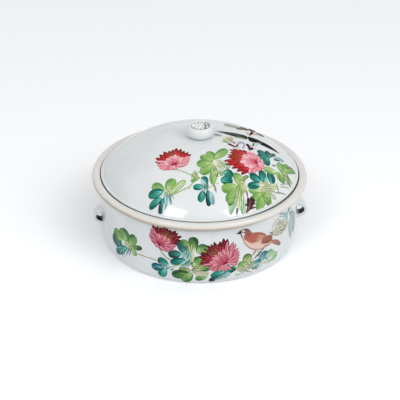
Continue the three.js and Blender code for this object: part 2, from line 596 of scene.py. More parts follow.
class Painting:
    """Strokes of enamel that are laid on one sheet and made into one closed mesh."""

    rings = 13
    across = np.array([1.0, 0.85, 0.5, 0.0, -0.5, -0.85, -1.0, -0.5, 0.5])
    height = np.array([0.0, 0.7, 1.0, 1.0, 1.0, 0.7, 0.0, 0.0, 0.0])
    edging = np.array([1.0, 0.5, 0.0, 0.0, 0.0, 0.5, 1.0, 1.0, 1.0])
    under = np.array([False] * 7 + [True] * 2)
    thickness = 0.05
    coat = 0.022
    sunk = 0.08

    def __init__(self, name: str) -> None:
        """Starts an empty painting."""
        self.name = name
        self.strokes: list[Stroke] = []

    def stroke(
        self,
        foot: Point,
        tip: Point,
        half_width: float,
        colours: str,
        nib: Nib = Nib.LINE,
        bow: float = 0.0,
        layer: float = 0.0,
    ) -> None:
        """Adds one stroke.

        Args:
            foot: where it starts.
            tip: where it ends.
            half_width: its greatest half-width.
            colours: one to three codes: foot, tip and edge.
            nib: how it swells.
            bow: how far its middle stands to the left, as a share of its length.
            layer: how many other coats of enamel lie under it.
        """
        start, end = np.array(foot, float), np.array(tip, float)
        side = np.array([start[1] - end[1], end[0] - start[0]])
        bend = (start + end) / 2 + side * bow
        codes = colours.split()
        codes = tuple((codes + codes[-1:] * 2)[:3])
        points = (tuple(start), tuple(bend), tuple(end))
        self.strokes.append(Stroke(*points, half_width, nib, codes, layer))

    def column(self, part: str) -> np.ndarray:
        """One field of every stroke, with a row for each stroke."""
        return np.array([getattr(stroke, part) for stroke in self.strokes])

    def arrays(self, sheet: Sheet) -> tuple[np.ndarray, np.ndarray]:
        """Works out every stroke's vertices and colours at once.

        The centreline is the quadratic curve (1-t)^2 foot + 2t(1-t) bend + t^2 tip. The width at t
        is the half-width times t^a (1-t)^b over that product's greatest value, and the thickness
        goes as (4t(1-t))^0.5. Each section is a flat lens whose underside lies inside the glaze.

        Args:
            sheet: the surface that the strokes lie on.

        Returns:
            The vertices and their linear colours.
        """
        foot, bend, tip = (self.column(part)[:, None] for part in ("foot", "bend", "tip"))
        t = ((1 - np.cos(np.linspace(0, pi, self.rings + 2))) / 2)[1:-1]
        row = t[None, :, None]
        centre = (1 - row) ** 2 * foot + 2 * row * (1 - row) * bend + row**2 * tip
        along = (1 - row) * (bend - foot) + row * (tip - bend)
        side = np.stack([-along[..., 1], along[..., 0]], -1)
        side /= np.linalg.norm(side, axis=-1, keepdims=True)
        a, b = (np.array([s.nib.value[i] for s in self.strokes])[:, None] for i in (0, 1))
        swell = t**a * (1 - t) ** b / ((a / (a + b)) ** a * (b / (a + b)) ** b)
        width = self.column("half_width")[:, None] * swell
        layer = self.column("layer")[:, None, None] * self.coat
        thick = self.thickness * np.minimum(1, width) ** 0.5 * (4 * t * (1 - t)) ** 0.5
        lift = np.where(self.under, -self.sunk, layer + thick[..., None] * self.height)
        place = centre[:, :, None] + side[:, :, None] * (width[..., None] * self.across)[..., None]
        body = sheet.lifted(place, lift)
        ends = sheet.lifted(np.concatenate([foot, tip], 1), np.repeat(layer[..., 0] / 2, 2, 1))
        codes = np.array([[linear(code)[:3] for code in s.colours] for s in self.strokes])
        main = codes[:, None, 0] * (1 - row) + codes[:, None, 1] * row
        edge = self.edging[:, None]
        tones = main[:, :, None] * (1 - edge) + codes[:, None, None, 2] * edge
        end_tones = codes[:, [0, 2]]
        count = len(self.strokes)
        vertices = np.concatenate([body.reshape(count, -1, 3), ends], 1)
        colours = np.concatenate([tones.reshape(count, -1, 3), end_tones], 1)
        return vertices.reshape(-1, 3), colours.reshape(-1, 3)

    def build(self, sheet: Sheet, material: bpy.types.Material, body: str) -> bpy.types.Object:
        """Makes the painting's mesh on a sheet.

        Args:
            sheet: the surface that it lies on.
            material: the enamel.
            body: the body that it moves with.

        Returns:
            The new piece.
        """
        vertices, colours = self.arrays(sheet)
        per_stroke = len(vertices) // len(self.strokes)
        first = np.arange(len(self.strokes))[:, None, None] * per_stroke
        quads, triangles = (
            (first + group).reshape(-1, group.shape[-1])
            for group in skin_faces(self.rings, len(self.across))
        )
        piece = add_piece(self.name, vertices, (quads, triangles), material, body, "enamel")
        tones = piece.data.color_attributes.new(PAINT, "FLOAT_COLOR", "POINT")
        rgba = np.concatenate([colours, np.ones((len(colours), 1))], 1)
        tones.data.foreach_set("color", rgba.astype(np.float32).ravel())
        return piece


class Leaf(Enum):
    """Enamels of a lobe: its foot, its tip, its outline, its veins and the light streaks on it."""

    GREEN = "b3d27c 84b560 629a52 549048 c8de98"
    LIGHT_GREEN = "cbe2a8 9dc870 679e54 619652 deecc0"
    WALL_GREEN = "a6c674 5f9a52 386a38 34643a bad894"
    DARK_GREEN = "76a25c 38683a 264c2e 22482e 92b874"
    OLIVE = "bbc48e 7b9a60 547446 4e6a42 cfd4a2"
    MINT = "e4efd4 aad2a6 80b08a 70a47a f0f6e8"
    TEAL = "4db9a7 127e72 0d625a 0d5a54 80d5c3"
    DARK_TEAL = "348b82 0f5154 0c383c 0c3438 5fb1a3"
    DEEP_TEAL = "1c9987 0b7164 0b564c 0b5048 58c9b7"
    TURQUOISE = "58d1bb 15917e 0f655c 0f5d54 93e5d3"
    BLUE_TEAL = "80c8c8 20848c 105e6c 0e5464 a4dcdc"
    GREY_TEAL = "84b0ac 305c5c 143030 143030 a4c8c4"
    ICE = "d0e6e8 8cbcc0 649ca6 548c98 e4f2f2"
    DRY_LEAF = "e6e9dc dadfce b0b49c 989c84 f4f6ea"


@dataclass(frozen=True)
class Lobe:
    """One rounded lobe of a leaf: an outline, a body with a darker side, veins and light streaks.

    Its dark side, its streaks' width and the fan's spread and bend are shares of its half-width,
    and the fan's start and reach are shares of its length.
    """

    foot: Point
    tip: Point
    half_width: float
    paint: Leaf
    bow: float = 0.05
    coats: int = 5
    outline: float = 0.35
    dark_width: float = 0.42
    dark_shift: float = 1.25
    fan: tuple[float, ...] = (-0.62, -0.36, -0.1, 0.2, 0.44, 0.7)
    fan_start: float = 0.06
    fan_reach: float = 0.9
    fan_shorter: float = 0.25
    fan_spread: float = 0.55
    fan_bend: float = 1.1
    vein_half_width: float = 0.2
    streak_width: float = 0.17

    def lay(self, on: Painting, turn: int) -> None:
        """Lays the lobe. Veins and light streaks fan out from its foot in turn.

        Args:
            on: the painting.
            turn: the lobe's place in its group, which sets its coat and the side it bends to.
        """
        first, last, edge, vein, light = self.paint.value.split()
        foot, tip = np.array(self.foot), np.array(self.tip)
        run = tip - foot
        length = float(np.linalg.norm(run))
        along = run / length
        left = np.array([-along[1], along[0]])
        side = 1 if turn % 2 else -1
        level = turn % LEVELS * self.coats
        bow = self.bow * side
        beyond = tuple(tip + along * self.outline)
        on.stroke(self.foot, beyond, self.half_width + self.outline, edge, Nib.LOBE, bow, level)
        on.stroke(self.foot, self.tip, self.half_width, f"{first} {last}", Nib.LOBE, bow, level + 1)
        dark = self.half_width * self.dark_width
        dark_bow = bow - side * self.half_width * self.dark_shift / length
        on.stroke(self.foot, self.tip, dark, f"{last} {edge}", Nib.LOBE, dark_bow, level + 2)
        start = tuple(foot + run * self.fan_start)
        streak = self.streak_width * self.half_width
        for i, share in enumerate(self.fan):
            reach = self.fan_reach - self.fan_shorter * abs(share)
            end = tuple(foot + run * reach + left * share * self.half_width * self.fan_spread)
            bend = bow + share * self.half_width * self.fan_bend / length
            wide, colours = (streak, f"{light} {last}") if i % 2 else (self.vein_half_width, vein)
            on.stroke(start, end, wide, colours, Nib.BLADE, bend, level + 3)


@dataclass(frozen=True)
class Hatch:
    """The pale back of a turned leaf: a thin wash crossed by fine dark and light lines."""

    foot: Point
    tip: Point
    half_width: float
    lines: int
    wash: str
    line: str
    light: str = "fbfaec"
    span: Point = (0.1, 0.88)
    reach: float = 0.9
    slant: float = 0.5
    light_shift: float = 0.55
    rib_half_width: float = 0.22
    line_half_width: float = 0.17
    light_half_width: float = 0.15
    bow: float = 0.04
    coats: int = 2
    lift: int = 6

    def lay(self, on: Painting, turn: int) -> None:
        """Lays the wash and its rib, then the lines, which slant from the rib to both edges.

        A line at share s of the length reaches (4s(1 - s))^0.5 of the way to the greatest width.

        Args:
            on: the painting.
            turn: the leaf's place in its group, which sets its coat.
        """
        foot, tip = np.array(self.foot), np.array(self.tip)
        run = tip - foot
        level = turn % LEVELS * self.coats + self.lift
        on.stroke(self.foot, self.tip, self.half_width, self.wash, Nib.LOBE, self.bow, level)
        on.stroke(self.foot, self.tip, self.rib_half_width, self.line, Nib.LINE, self.bow, level + 2)
        along = run / np.linalg.norm(run)
        side = np.array([-along[1], along[0]])
        for share in np.linspace(*self.span, self.lines):
            wide = self.half_width * (4 * share * (1 - share)) ** 0.5 * self.reach
            root = foot + run * share
            for way in (-1, 1):
                end = root + side * way * wide + along * wide * self.slant
                ends = tuple(root), tuple(end)
                on.stroke(*ends, self.line_half_width, self.line, Nib.LINE, 0.0, level + 2)
                ends = tuple(root + along * self.light_shift), tuple(end + along * self.light_shift)
                on.stroke(*ends, self.light_half_width, self.light, Nib.LINE, 0.0, level + 2)


@dataclass(frozen=True)
class Stem:
    """A stem or twig: a coloured line through a few points, with a darker edge."""

    points: tuple[Point, ...]
    half_width: float
    colours: str  # of the line and of its edge
    edge: float = 0.15
    bow: float = 0.03

    def lay(self, on: Painting, turn: int) -> None:
        """Lays the dark edge and then the stem on it, one stroke for each stretch.

        Args:
            on: the painting.
            turn: not used, because all stems lie on the same two coats.
        """
        line, edge = self.colours.split()
        for start, end in zip(self.points[:-1], self.points[1:]):
            on.stroke(start, end, self.half_width + self.edge, edge, Nib.EVEN, self.bow, 1)
            on.stroke(start, end, self.half_width, line, Nib.EVEN, self.bow, 3)


@dataclass(frozen=True)
class Mark:
    """A single stroke, with its own ends, width and colours."""

    foot: Point
    tip: Point
    half_width: float
    colours: str  # one to three codes: foot, tip and edge
    nib: Nib = Nib.BLADE
    bow: float = 0.05
    lift: float = 12.0
    rise: float = 0.4

    def lay(self, on: Painting, turn: int) -> None:
        """Lays the stroke over the lobes, each mark of a group a little above the last."""
        level = self.lift + turn * self.rise
        on.stroke(self.foot, self.tip, self.half_width, self.colours, self.nib, self.bow, level)


@dataclass(frozen=True)
class Tuft:
    """Many fine strokes that fan out from one root, such as the veins of a pale leaf or grass."""

    root: Point
    tip: Point
    spread: float
    count: int
    half_width: float
    colours: str  # codes that the strokes take in turn
    lift: float = 17.0
    shorter: float = 0.2
    uneven: float = 0.14
    stagger: float = 0.12
    bow: float = 0.1

    def lay(self, on: Painting, turn: int) -> None:
        """Lays the strokes, which turn away from the middle one by up to the spread in degrees.

        The stroke at share s, from -1 to 1, is shorter by s^2 times a share and by an uneven step.

        Args:
            on: the painting.
            turn: the tuft's place in its group, which shifts its pattern of lengths.
        """
        root = np.array(self.root)
        run = np.array(self.tip) - root
        side = np.array([-run[1], run[0]])
        colours = self.colours.split()
        for i, share in enumerate(np.linspace(-1, 1, self.count)):
            angle = radians(self.spread * share)
            length = 1 - self.shorter * share**2 - self.uneven * ((i + turn) * 2 % 3)
            end = root + (run * cos(angle) + side * sin(angle)) * length
            start = root + (end - root) * self.stagger * (i % 3)
            colour, bow, level = colours[i % len(colours)], self.bow * share, self.lift + i % 2
            on.stroke(tuple(start), tuple(end), self.half_width, colour, Nib.SPIKE, bow, level)


@dataclass(frozen=True)
class Petal:
    """One kind of petal. Its foot and tip are shares of the blossom's reach."""

    foot: float
    tip: float
    half_width: float
    nib: Nib
    colours: str  # at the foot, at the tip and along the edges
    outline: str
    streaks: str = ""
    crown: str = ""


class Petals(Enum):
    """The petals of the lid's and of the wall's blossoms, by the row that they stand in."""

    LID = {
        "back": Petal(0.46, 1, 2, Nib.PETAL, "e01820 a40c14 b8101a", "78080e", "f04044 84080f", "78120c"),
        "middle": Petal(
            0.44, 0.84, 2, Nib.PETAL, "e4262e b41018 c4141e", "84080f", "f6585a 90101a", "8c1a14"
        ),
        "inner": Petal(0.42, 0.68, 1.7, Nib.PETAL, "e8343c c0202a cc2630", "8c0e16", "f4686c"),
        "stamen": Petal(0.58, 0.84, 0.35, Nib.BLADE, "b4703c 9c5c2c 9c5c2c", "8c3c20"),
        "skirt": Petal(0.05, 1, 2.3, Nib.PETAL, "e4607c f6aab6 e26c84", "bc3050", "fad2d6"),
        "under": Petal(0.02, 1, 2.2, Nib.PETAL, "e4607c f6aeb8 e06c84", "c04460", "fad6da"),
        "cup": Petal(0.08, 0.56, 3.2, Nib.PETAL, "f08498 fcccd2 e67c90", "c43854", "fde6e8"),
        "front": Petal(0.03, 0.38, 2.4, Nib.PETAL, "e65c78 f8b4be dc6480", "b42442", "c83c5c"),
    }
    WALL = {
        "back": Petal(0.46, 1, 2, Nib.PETAL, "b42434 701020 84182a", "4c0a14", "cc4854 5c0c18", "4c1416"),
        "middle": Petal(
            0.42, 0.84, 1.9, Nib.PETAL, "bc3044 84182c 982034", "540c18", "d05c68 681020", "5c181e"
        ),
        "inner": Petal(0.40, 0.68, 1.6, Nib.PETAL, "c43c50 982438 a42c42", "640f1e", "d86c78"),
        "stamen": Petal(0.56, 0.84, 0.3, Nib.BLADE, "b08c54 8c6434 8c6434", "6c3424"),
        "skirt": Petal(0.05, 1, 1.9, Nib.PETAL, "c04864 e08c9e ba4c68", "7c1c34", "f4bcc6 a42c48"),
        "under": Petal(0.02, 1, 1.8, Nib.PETAL, "c04c68 e0909e bc506c", "882440", "f0b8c0"),
        "cup": Petal(0.08, 0.58, 2.8, Nib.PETAL, "ca5c70 e89ca4 c05870", "842038", "f4c4ca ac3850"),
        "front": Petal(0.03, 0.38, 2.4, Nib.PETAL, "c04862 dc7e8a b84c66", "7c1c38", "a03454"),
    }


PETAL_ROWS = ("back", "middle", "inner", "stamen", "skirt", "skirt", "under", "cup", "front")


@dataclass(frozen=True)
class Blossom:
    """A many-petalled blossom seen from the side, whose petals fan out from its heart.

    Its reach is a list of angle and distance pairs round the heart, with the angles in order.
    Places along a petal are shares of that distance. Its petals stand in rows, and each row is
    spread evenly between two angles in degrees.
    """

    heart: Point
    heading: float
    petals: Petals
    reach: tuple[Point, ...]
    fans: tuple[tuple[float, float, int], ...]  # each row's first and last angle, and its count
    seed: int
    heart_colour: str = "9c1430"
    ray_tip_colour: str = "c84868"
    coats: int = 4
    outline: float = 0.4
    lean: float = 0.04
    curl: float = 0.0012
    streak_sides: Point = (-0.4, 0.35)
    streak_width: float = 0.3
    streak_gaps: Point = (0.04, 0.06)
    crown_width: float = 0.45
    crown_start: float = 0.15
    crown_end: float = 0.01
    stray_angle: float = 1.6
    stray_reach: float = 0.04
    stray_width: float = 0.08
    stray_bow: float = 0.02
    heart_rays: int = 7
    heart_spread: float = 72.0
    heart_reach: float = 0.24
    ray_half_width: float = 0.3
    heart_length: float = 2.6
    heart_half_width: float = 1.1
    heart_bow: float = 0.35

    def ray(self, angle: float, distance: float) -> Point:
        """The place at a distance from the heart, at an angle anticlockwise from the right."""
        way = radians(angle)
        return self.heart[0] + distance * cos(way), self.heart[1] + distance * sin(way)

    def reach_at(self, angle: float) -> float:
        """How far the blossom reaches at an angle."""
        return float(np.interp(angle, *zip(*self.reach)))

    def petal(
        self, on: Painting, petal: Petal, angle: float, reach: float, wide: float, bow: float, coat: float
    ) -> None:
        """Lays one petal: a dark outline, the body, a light and a dark streak and a dark crown.

        Args:
            on: the painting.
            petal: its kind.
            angle: its direction in degrees.
            reach: how far the blossom reaches there.
            wide: its half-width.
            bow: how far it bends to the left, as a share of its length.
            coat: how many coats lie under it.
        """
        lean = (angle - self.heading) * self.lean
        near, far = angle + lean, angle - lean
        foot, tip = self.ray(near, reach * petal.foot), self.ray(far, reach * petal.tip)
        on.stroke(foot, tip, wide + self.outline, petal.outline, petal.nib, bow, coat)
        on.stroke(foot, tip, wide, petal.colours, petal.nib, bow, coat + 1)
        length = max(reach * (petal.tip - petal.foot), 1.0)
        start = self.ray(near, reach * (petal.foot + self.streak_gaps[0]))
        end = self.ray(far, reach * (petal.tip - self.streak_gaps[1]))
        for side, colour in zip(self.streak_sides, petal.streaks.split()):
            bend = bow + side * wide * 2 / length
            on.stroke(start, end, self.streak_width * wide**0.5, colour, Nib.BLADE, bend, coat + 2.5)
        if petal.crown:
            start = self.ray(angle, reach * (petal.tip - self.crown_start))
            end = self.ray(far, reach * (petal.tip + self.crown_end))
            on.stroke(start, end, wide * self.crown_width, petal.crown, Nib.LOBE, 0.0, coat + 3)

    def lay(self, on: Painting, turn: int) -> None:
        """Lays the rows from the back to the front, then the dark heart.

        Every second petal of a row lies over its neighbours, so that its outline shows. Tips lean
        towards the heading by a share of their angle from it.

        Args:
            on: the painting.
            turn: not used, because a blossom is alone in its group.
        """
        draw = np.random.default_rng(self.seed)
        for level, (row, fan) in enumerate(zip(PETAL_ROWS, self.fans)):
            kind = self.petals.value[row]
            for i, even in enumerate(np.linspace(*fan)):
                angle = float(even + draw.normal(0, self.stray_angle))
                reach = self.reach_at(angle) * float(1 + draw.normal(0, self.stray_reach))
                wide = kind.half_width * float(1 + draw.normal(0, self.stray_width))
                bow = float(-self.curl * (angle - self.heading) + draw.normal(0, self.stray_bow))
                self.petal(on, kind, angle, reach, wide, bow, level * self.coats + i % 2 * 2)
        top = len(self.fans) * self.coats + 3
        spread = self.heart_spread
        for angle in np.linspace(self.heading - spread, self.heading + spread, self.heart_rays):
            end = self.ray(angle, self.reach_at(angle) * self.heart_reach)
            colours = f"{self.heart_colour} {self.ray_tip_colour}"
            on.stroke(self.heart, end, self.ray_half_width, colours, Nib.SPIKE, 0.0, top)
        low, high = (self.ray(self.heading + way * 90, self.heart_length) for way in (1, -1))
        wide = self.heart_half_width
        on.stroke(low, high, wide, self.heart_colour, Nib.LOBE, self.heart_bow, top + 1)


LID_LEFT_SPRAY = (
    Stem(((-29, -50), (-23.5, -53.5), (-15.5, -59.5), (-8, -62)), 0.5, "b4c88a 8fa868"),
    Stem(((-34, -76.5), (-25.5, -74.5), (-17.5, -72.5), (-9, -64.5)), 0.5, "b0c47c 86a050"),
    Stem(((-18, -74.5), (-14.5, -70), (-8.5, -65.5)), 0.35, "c8d8a4 a0b878"),
    Mark((-14.5, -64), (-10.5, -54.5), 0.4, "a8c070 7f9a48"),
    Mark((-12.5, -62), (-8.5, -55), 0.5, "a8c070 7f9a48"),
    Mark((-10.5, -61.5), (-6, -57), 0.5, "a8c070 7f9a48"),
    Mark((-15, -59.5), (-6, -64), 0.4, "a8c070 7f9a48"),
    Mark((-13, -61.5), (-8.5, -61), 0.9, "efe6c0 e6dcb0"),
    Lobe((-6.5, -64), (-15, -67), 1.6, Leaf.GREEN),
    Mark((-40.5, -68.5), (-41.5, -75.5), 0.4, "d0dc9c 9cb868"),
    Mark((-37.5, -70.5), (-40, -76), 0.4, "d0dc9c 9cb868"),
    Mark((-36, -73), (-38, -77), 0.4, "c0d08c 8cac60"),
    Mark((-38.5, -69.5), (-34.5, -77.5), 0.4, "c0d08c 8cac60"),
    Lobe((-35, -75), (-20.5, -65.5), 3, Leaf.LIGHT_GREEN),
    Hatch((-31, -73.5), (-21, -66), 2, 7, "dfe9c2", "6a9434"),
    Lobe((-41.5, -70), (-51.5, -60), 3.9, Leaf.GREEN),
    Lobe((-38, -71), (-32.5, -60.5), 5, Leaf.GREEN),
    Lobe((-42, -70.5), (-56, -68), 3.9, Leaf.TEAL),
    Lobe((-44, -76), (-56, -78.5), 3.1, Leaf.TEAL),
    Lobe((-43.5, -76.5), (-46.5, -86.5), 2.4, Leaf.DARK_TEAL),
    Mark((-40.5, -75), (-44, -87.5), 1.3, "9fd6d6 d4eaea"),
    Mark((-42, -75.5), (-42.5, -84.5), 0.8, "3f9a90 1c6a68"),
    Mark((-38.5, -75), (-40.5, -85), 0.9, "74aac0 a4ccd8"),
    Mark((-37.5, -75), (-36.5, -83), 0.6, "6aaeb0 9acaca"),
    Mark((-36.5, -74.5), (-35.5, -84), 0.5, "6f9a88 2a4f4c"),
    Mark((-35.5, -74.5), (-32.5, -80), 0.4, "8fbf96 6fa080"),
    Tuft((-38.5, -74), (-43.5, -85.5), 20, 11, 0.5, "d4ecee 54a89c a4cce0 2f7f74 e8f6f6 7cacd4"),
    Tuft((-39, -71.5), (-37, -78), 60, 9, 0.3, "b8d4a4 5c8c5c e4f0d8"),
    Tuft((-9.5, -64.5), (-12, -56), 40, 7, 0.4, "9cb868 c8d89c 7c9a4c"),
)
LID_MIDDLE_LEAVES = (
    Stem(((6, -71), (11.5, -70.5)), 0.4, "d8dc9c b0b870"),
    Stem(((6, -48), (7, -57), (6.5, -71), (-1.5, -77)), 0.4, "c4d498 98b068"),
    Lobe((10, -40.5), (23.5, -24.5), 4.4, Leaf.GREEN),
    Lobe((8.5, -43), (6.5, -29.5), 4.4, Leaf.GREEN),
    Lobe((7.5, -44.5), (-3, -36.5), 4.3, Leaf.GREEN),
    Lobe((6.5, -46), (-7.5, -47), 5, Leaf.GREEN),
    Lobe((6.5, -48.5), (-4, -60.5), 4.7, Leaf.GREEN),
    Lobe((8, -49.5), (5, -71), 3.3, Leaf.LIGHT_GREEN),
    Lobe((9, -50.5), (10.5, -63), 1.7, Leaf.OLIVE),
    Hatch((6.5, -45.5), (19, -50.5), 5.4, 11, "e2ebc8", "6c8f38"),
    Mark((5.5, -44), (17, -48), 0.6, "9a9a60 7f8a4c"),
    Mark((16, -43), (19.5, -53), 0.5, "9ab870 7f9f54"),
    Mark((18.5, -52.5), (21.5, -42.5), 0.6, "8fc27c 6fae5c"),
    Mark((20, -54.5), (24, -45.5), 0.5, "8fc27c 5f9a54"),
    Mark((21, -55), (25, -49.5), 0.5, "6f9a6c 3f6f4c"),
    Mark((6, -71), (8, -79.5), 0.9, "a8b07c 6f7a50"),
    Mark((-3, -72), (-5, -65.5), 1.9, "a9ccd0 c8dee0"),
    Lobe((-1.5, -72), (-2, -63), 3.2, Leaf.TEAL),
    Lobe((-3, -74), (-13.5, -73.5), 2.8, Leaf.TURQUOISE),
    Lobe((-3.5, -77), (-9, -86), 3, Leaf.TURQUOISE),
    Lobe((2.5, -78.5), (4, -89), 2.1, Leaf.ICE),
    Lobe((0, -77), (-0.5, -90), 2.5, Leaf.DARK_TEAL),
    Mark((-4.5, -78.5), (-2, -83.5), 0.8, "1c5a54 2f6a64"),
    Mark((-0.5, -71.5), (-2.5, -77.5), 0.4, "2a6a60 3f8078"),
    Mark((1, -71.5), (-1, -78), 0.4, "2a6a60 3f8078"),
    Mark((-2.5, -71.5), (-3.5, -77), 0.4, "2a6a60 3f8078"),
    Lobe((17.5, -57.5), (26, -60), 4.8, Leaf.DEEP_TEAL),
    Lobe((13.5, -68), (25, -66), 4.6, Leaf.DEEP_TEAL),
    Mark((16.5, -65), (22.5, -63.5), 0.7, "4fb0a4 2f9a90"),
    Tuft((7.5, -46.5), (19, -46.5), 62, 19, 0.5, "7c9c50 e8f0d0 a4c47c f4f6e4"),
    Tuft((7.5, -57), (13.5, -63), 50, 9, 0.4, "8cac60 dce8bc b0c890"),
    Tuft((-1.5, -76), (-1.5, -68.5), 45, 9, 0.3, "2a6a60 b4d8d4 4c8c84"),
    Tuft((14.5, -62.5), (18.5, -50.5), 30, 7, 0.3, "7cb070 c4e0b4 5c9a5c"),
)
LID_LOWER_LEAVES = (
    Stem(((31.5, -74.5), (36, -67), (40.5, -58.5)), 0.4, "b0bc6c 6f8040"),
    Stem(((33.5, -71.5), (35.5, -60.5)), 0.4, "c4cc90 8f9c58"),
    Lobe((29.5, -69), (28.5, -57.5), 2.8, Leaf.GREEN),
    Lobe((32.5, -66.5), (41.5, -58), 1.6, Leaf.OLIVE),
    Lobe((29, -71.5), (14, -77), 4.3, Leaf.GREEN),
    Lobe((28, -73.5), (17.5, -86.5), 3.8, Leaf.GREEN),
    Lobe((28.5, -77), (20, -94.5), 2.7, Leaf.MINT),
    Lobe((32, -76.5), (32.5, -93), 2.7, Leaf.MINT),
    Hatch((30, -73), (27.5, -92), 2.3, 9, "e6eedc", "709458"),
    Hatch((32, -77.5), (37.5, -67.5), 1.7, 6, "dde6c4", "8a9c5c"),
    Mark((29, -74), (26.5, -88), 0.4, "7f9a50 5f7a40"),
    Mark((31.5, -74.5), (30, -86), 0.3, "8fa860 7f9a58"),
    Mark((33.5, -81), (33, -90.5), 0.4, "7fa878 5f8a60"),
    Mark((27, -90), (26, -94.5), 0.8, "4f5a3c 2e332a"),
    Tuft((33, -64.5), (27.5, -92), 13, 13, 0.5, "b4cc88 7c9c54 e6eecc 98bc74"),
    Tuft((32, -80), (36, -61.5), 20, 9, 0.4, "c4cc88 8c9c54 e8ecc4"),
    Tuft((28, -73.5), (16.5, -83), 26, 9, 0.3, "6a9840 b8d48c"),
    Lobe((35, -62), (27, -59), 3.2, Leaf.GREEN),
    Lobe((27.5, -82), (19, -89), 2.4, Leaf.OLIVE),
)
LID_STUMP = (
    Mark((37.5, -73.5), (38.5, -80.5), 0.6, "4c3028 3c2420"),
    Mark((44, -78.5), (35.5, -91.5), 2.6, "4e3034 6a484a", Nib.FEATHER),
    Mark((39, -79.5), (37, -87), 1.1, "42282a 4c3032"),
    Mark((45, -79), (41, -82), 0.8, "3c2426 4c3032"),
    Mark((39.5, -85), (46.5, -82), 0.6, "4e3034 3c2426"),
    Mark((39.5, -88), (46.5, -84.5), 0.5, "4e3034 3c2426"),
    Mark((35, -85.5), (37.5, -86.5), 0.6, "4e3034 3c2426"),
    Mark((41.5, -81.5), (38.5, -86.5), 0.4, "8c6468 7a5456"),
    Mark((39.5, -85.5), (36.5, -90.5), 0.5, "94706f 8a6a6a"),
    Mark((42.5, -81), (40.5, -85), 0.3, "2c1a1c 3c2426"),
)
LID_RIGHT_LEAVES = (
    Lobe((54, -69.5), (40.5, -73.5), 3.3, Leaf.LIGHT_GREEN),
    Lobe((53, -71), (42.5, -80), 2.3, Leaf.GREEN),
    Lobe((59, -67.5), (59, -78.5), 3.8, Leaf.GREEN),
    Lobe((56.5, -69.5), (47, -86.5), 3.4, Leaf.GREEN),
    Mark((58.5, -75), (58.5, -79), 1.3, "5f8a38 2f5020"),
    Hatch((53, -67.5), (70.5, -57.5), 3.1, 13, "e2ebc4", "648634"),
    Hatch((54, -69.5), (55.5, -60), 2.1, 7, "dccfbe", "a8906f"),
    Hatch((58.5, -63), (60.5, -57.5), 1.8, 5, "d8c8b4", "a08a6c"),
    Mark((56, -67), (69.5, -63.5), 0.4, "7f9448 6f8040"),
    Lobe((53.5, -59), (43.5, -56), 4.7, Leaf.DEEP_TEAL),
    Lobe((55, -60), (57, -46), 3.5, Leaf.DEEP_TEAL),
    Lobe((53, -62.5), (40, -69.5), 3.1, Leaf.TEAL),
    Mark((42, -69.5), (50.5, -66.5), 1.4, "1f7068 186058"),
    Lobe((65.5, -57.5), (66, -45), 4, Leaf.DEEP_TEAL),
    Mark((66, -56), (67.5, -47), 0.7, "0a5666 146874"),
    Mark((58, -59), (61, -52), 1.1, "9ad0c8 7fc0b8"),
    Lobe((73, -40), (59.5, -44.5), 4.1, Leaf.LIGHT_GREEN),
    Lobe((77, -35.5), (80.5, -22), 3.4, Leaf.GREEN),
    Lobe((78, -35), (88, -16.5), 2.7, Leaf.GREEN),
    Lobe((79, -36.5), (86, -36.5), 3.4, Leaf.OLIVE),
    Lobe((83, -37.5), (76.5, -29), 3.6, Leaf.GREEN),
    Lobe((78.5, -36), (96, -15), 3.8, Leaf.GREEN),
    Lobe((76.5, -37.5), (76.5, -49), 4, Leaf.GREEN),
    Mark((84, -25.5), (93.5, -15), 0.7, "6a8f3c 4a6a2c"),
    Mark((69, -33.5), (74, -30.5), 0.6, "7a6a4c 5a4a38"),
    Mark((75, -49), (76, -39.5), 0.5, "7a8a30 8a7a34"),
    Lobe((71.5, -18), (84, -14), 2.4, Leaf.ICE),
    Mark((72.5, -22.5), (79.5, -19), 1.2, "1f7a6c 0f5a50"),
    Lobe((67, -23.5), (67.5, -11), 3, Leaf.DARK_TEAL),
    Lobe((67.5, -21), (75.5, -11), 1.7, Leaf.DARK_TEAL),
    Lobe((64.5, -25), (58, -15), 4.7, Leaf.DEEP_TEAL),
    Lobe((64.5, -25), (55.5, -25.5), 4.2, Leaf.DEEP_TEAL),
    Lobe((65.5, -22.5), (63, -36.5), 3.4, Leaf.DEEP_TEAL),
    Mark((67.5, -23), (70.5, -16), 0.4, "7fd0bc 5fc0a8"),
    Mark((74.5, -53), (83.5, -45.5), 0.3, "a0b890 7f9a74"),
    Mark((74, -55.5), (84, -49), 0.3, "a0b890 8fa884"),
    Mark((68, -64.5), (80, -58), 0.3, "8a9a6c 8a9a7c"),
    Mark((78.5, -40.5), (85.5, -46), 0.8, "a8c078 8fa870"),
    Mark((82, -36.5), (86.5, -46), 0.7, "a8c078 7f9a64"),
    Mark((84.5, -35.5), (88.5, -41), 0.8, "a8c078 8fa870"),
    Mark((70, -54.5), (71.5, -62), 0.5, "b0c488 8fa870"),
    Mark((65.5, -67), (67, -70.5), 1, "c8d8c8 a8c0b8"),
    Tuft((54, -66), (69.5, -61), 40, 17, 0.3, "7c9454 e8ecd0 b4a488 a4c478"),
    Tuft((55, -65), (51.5, -60), 62, 15, 0.5, "a08c74 f0ead8 8ca468 d4e0b8"),
    Tuft((53.5, -74), (63.5, -70), 60, 9, 0.3, "6f9a40 bcd48c 88ac58"),
    Tuft((80.5, -40), (87.5, -41), 34, 9, 0.6, "98b474 dce8cc 7c9464"),
    Mark((68, -64.5), (80.5, -58), 0.3, "7c8a6c 8c9680"),
)
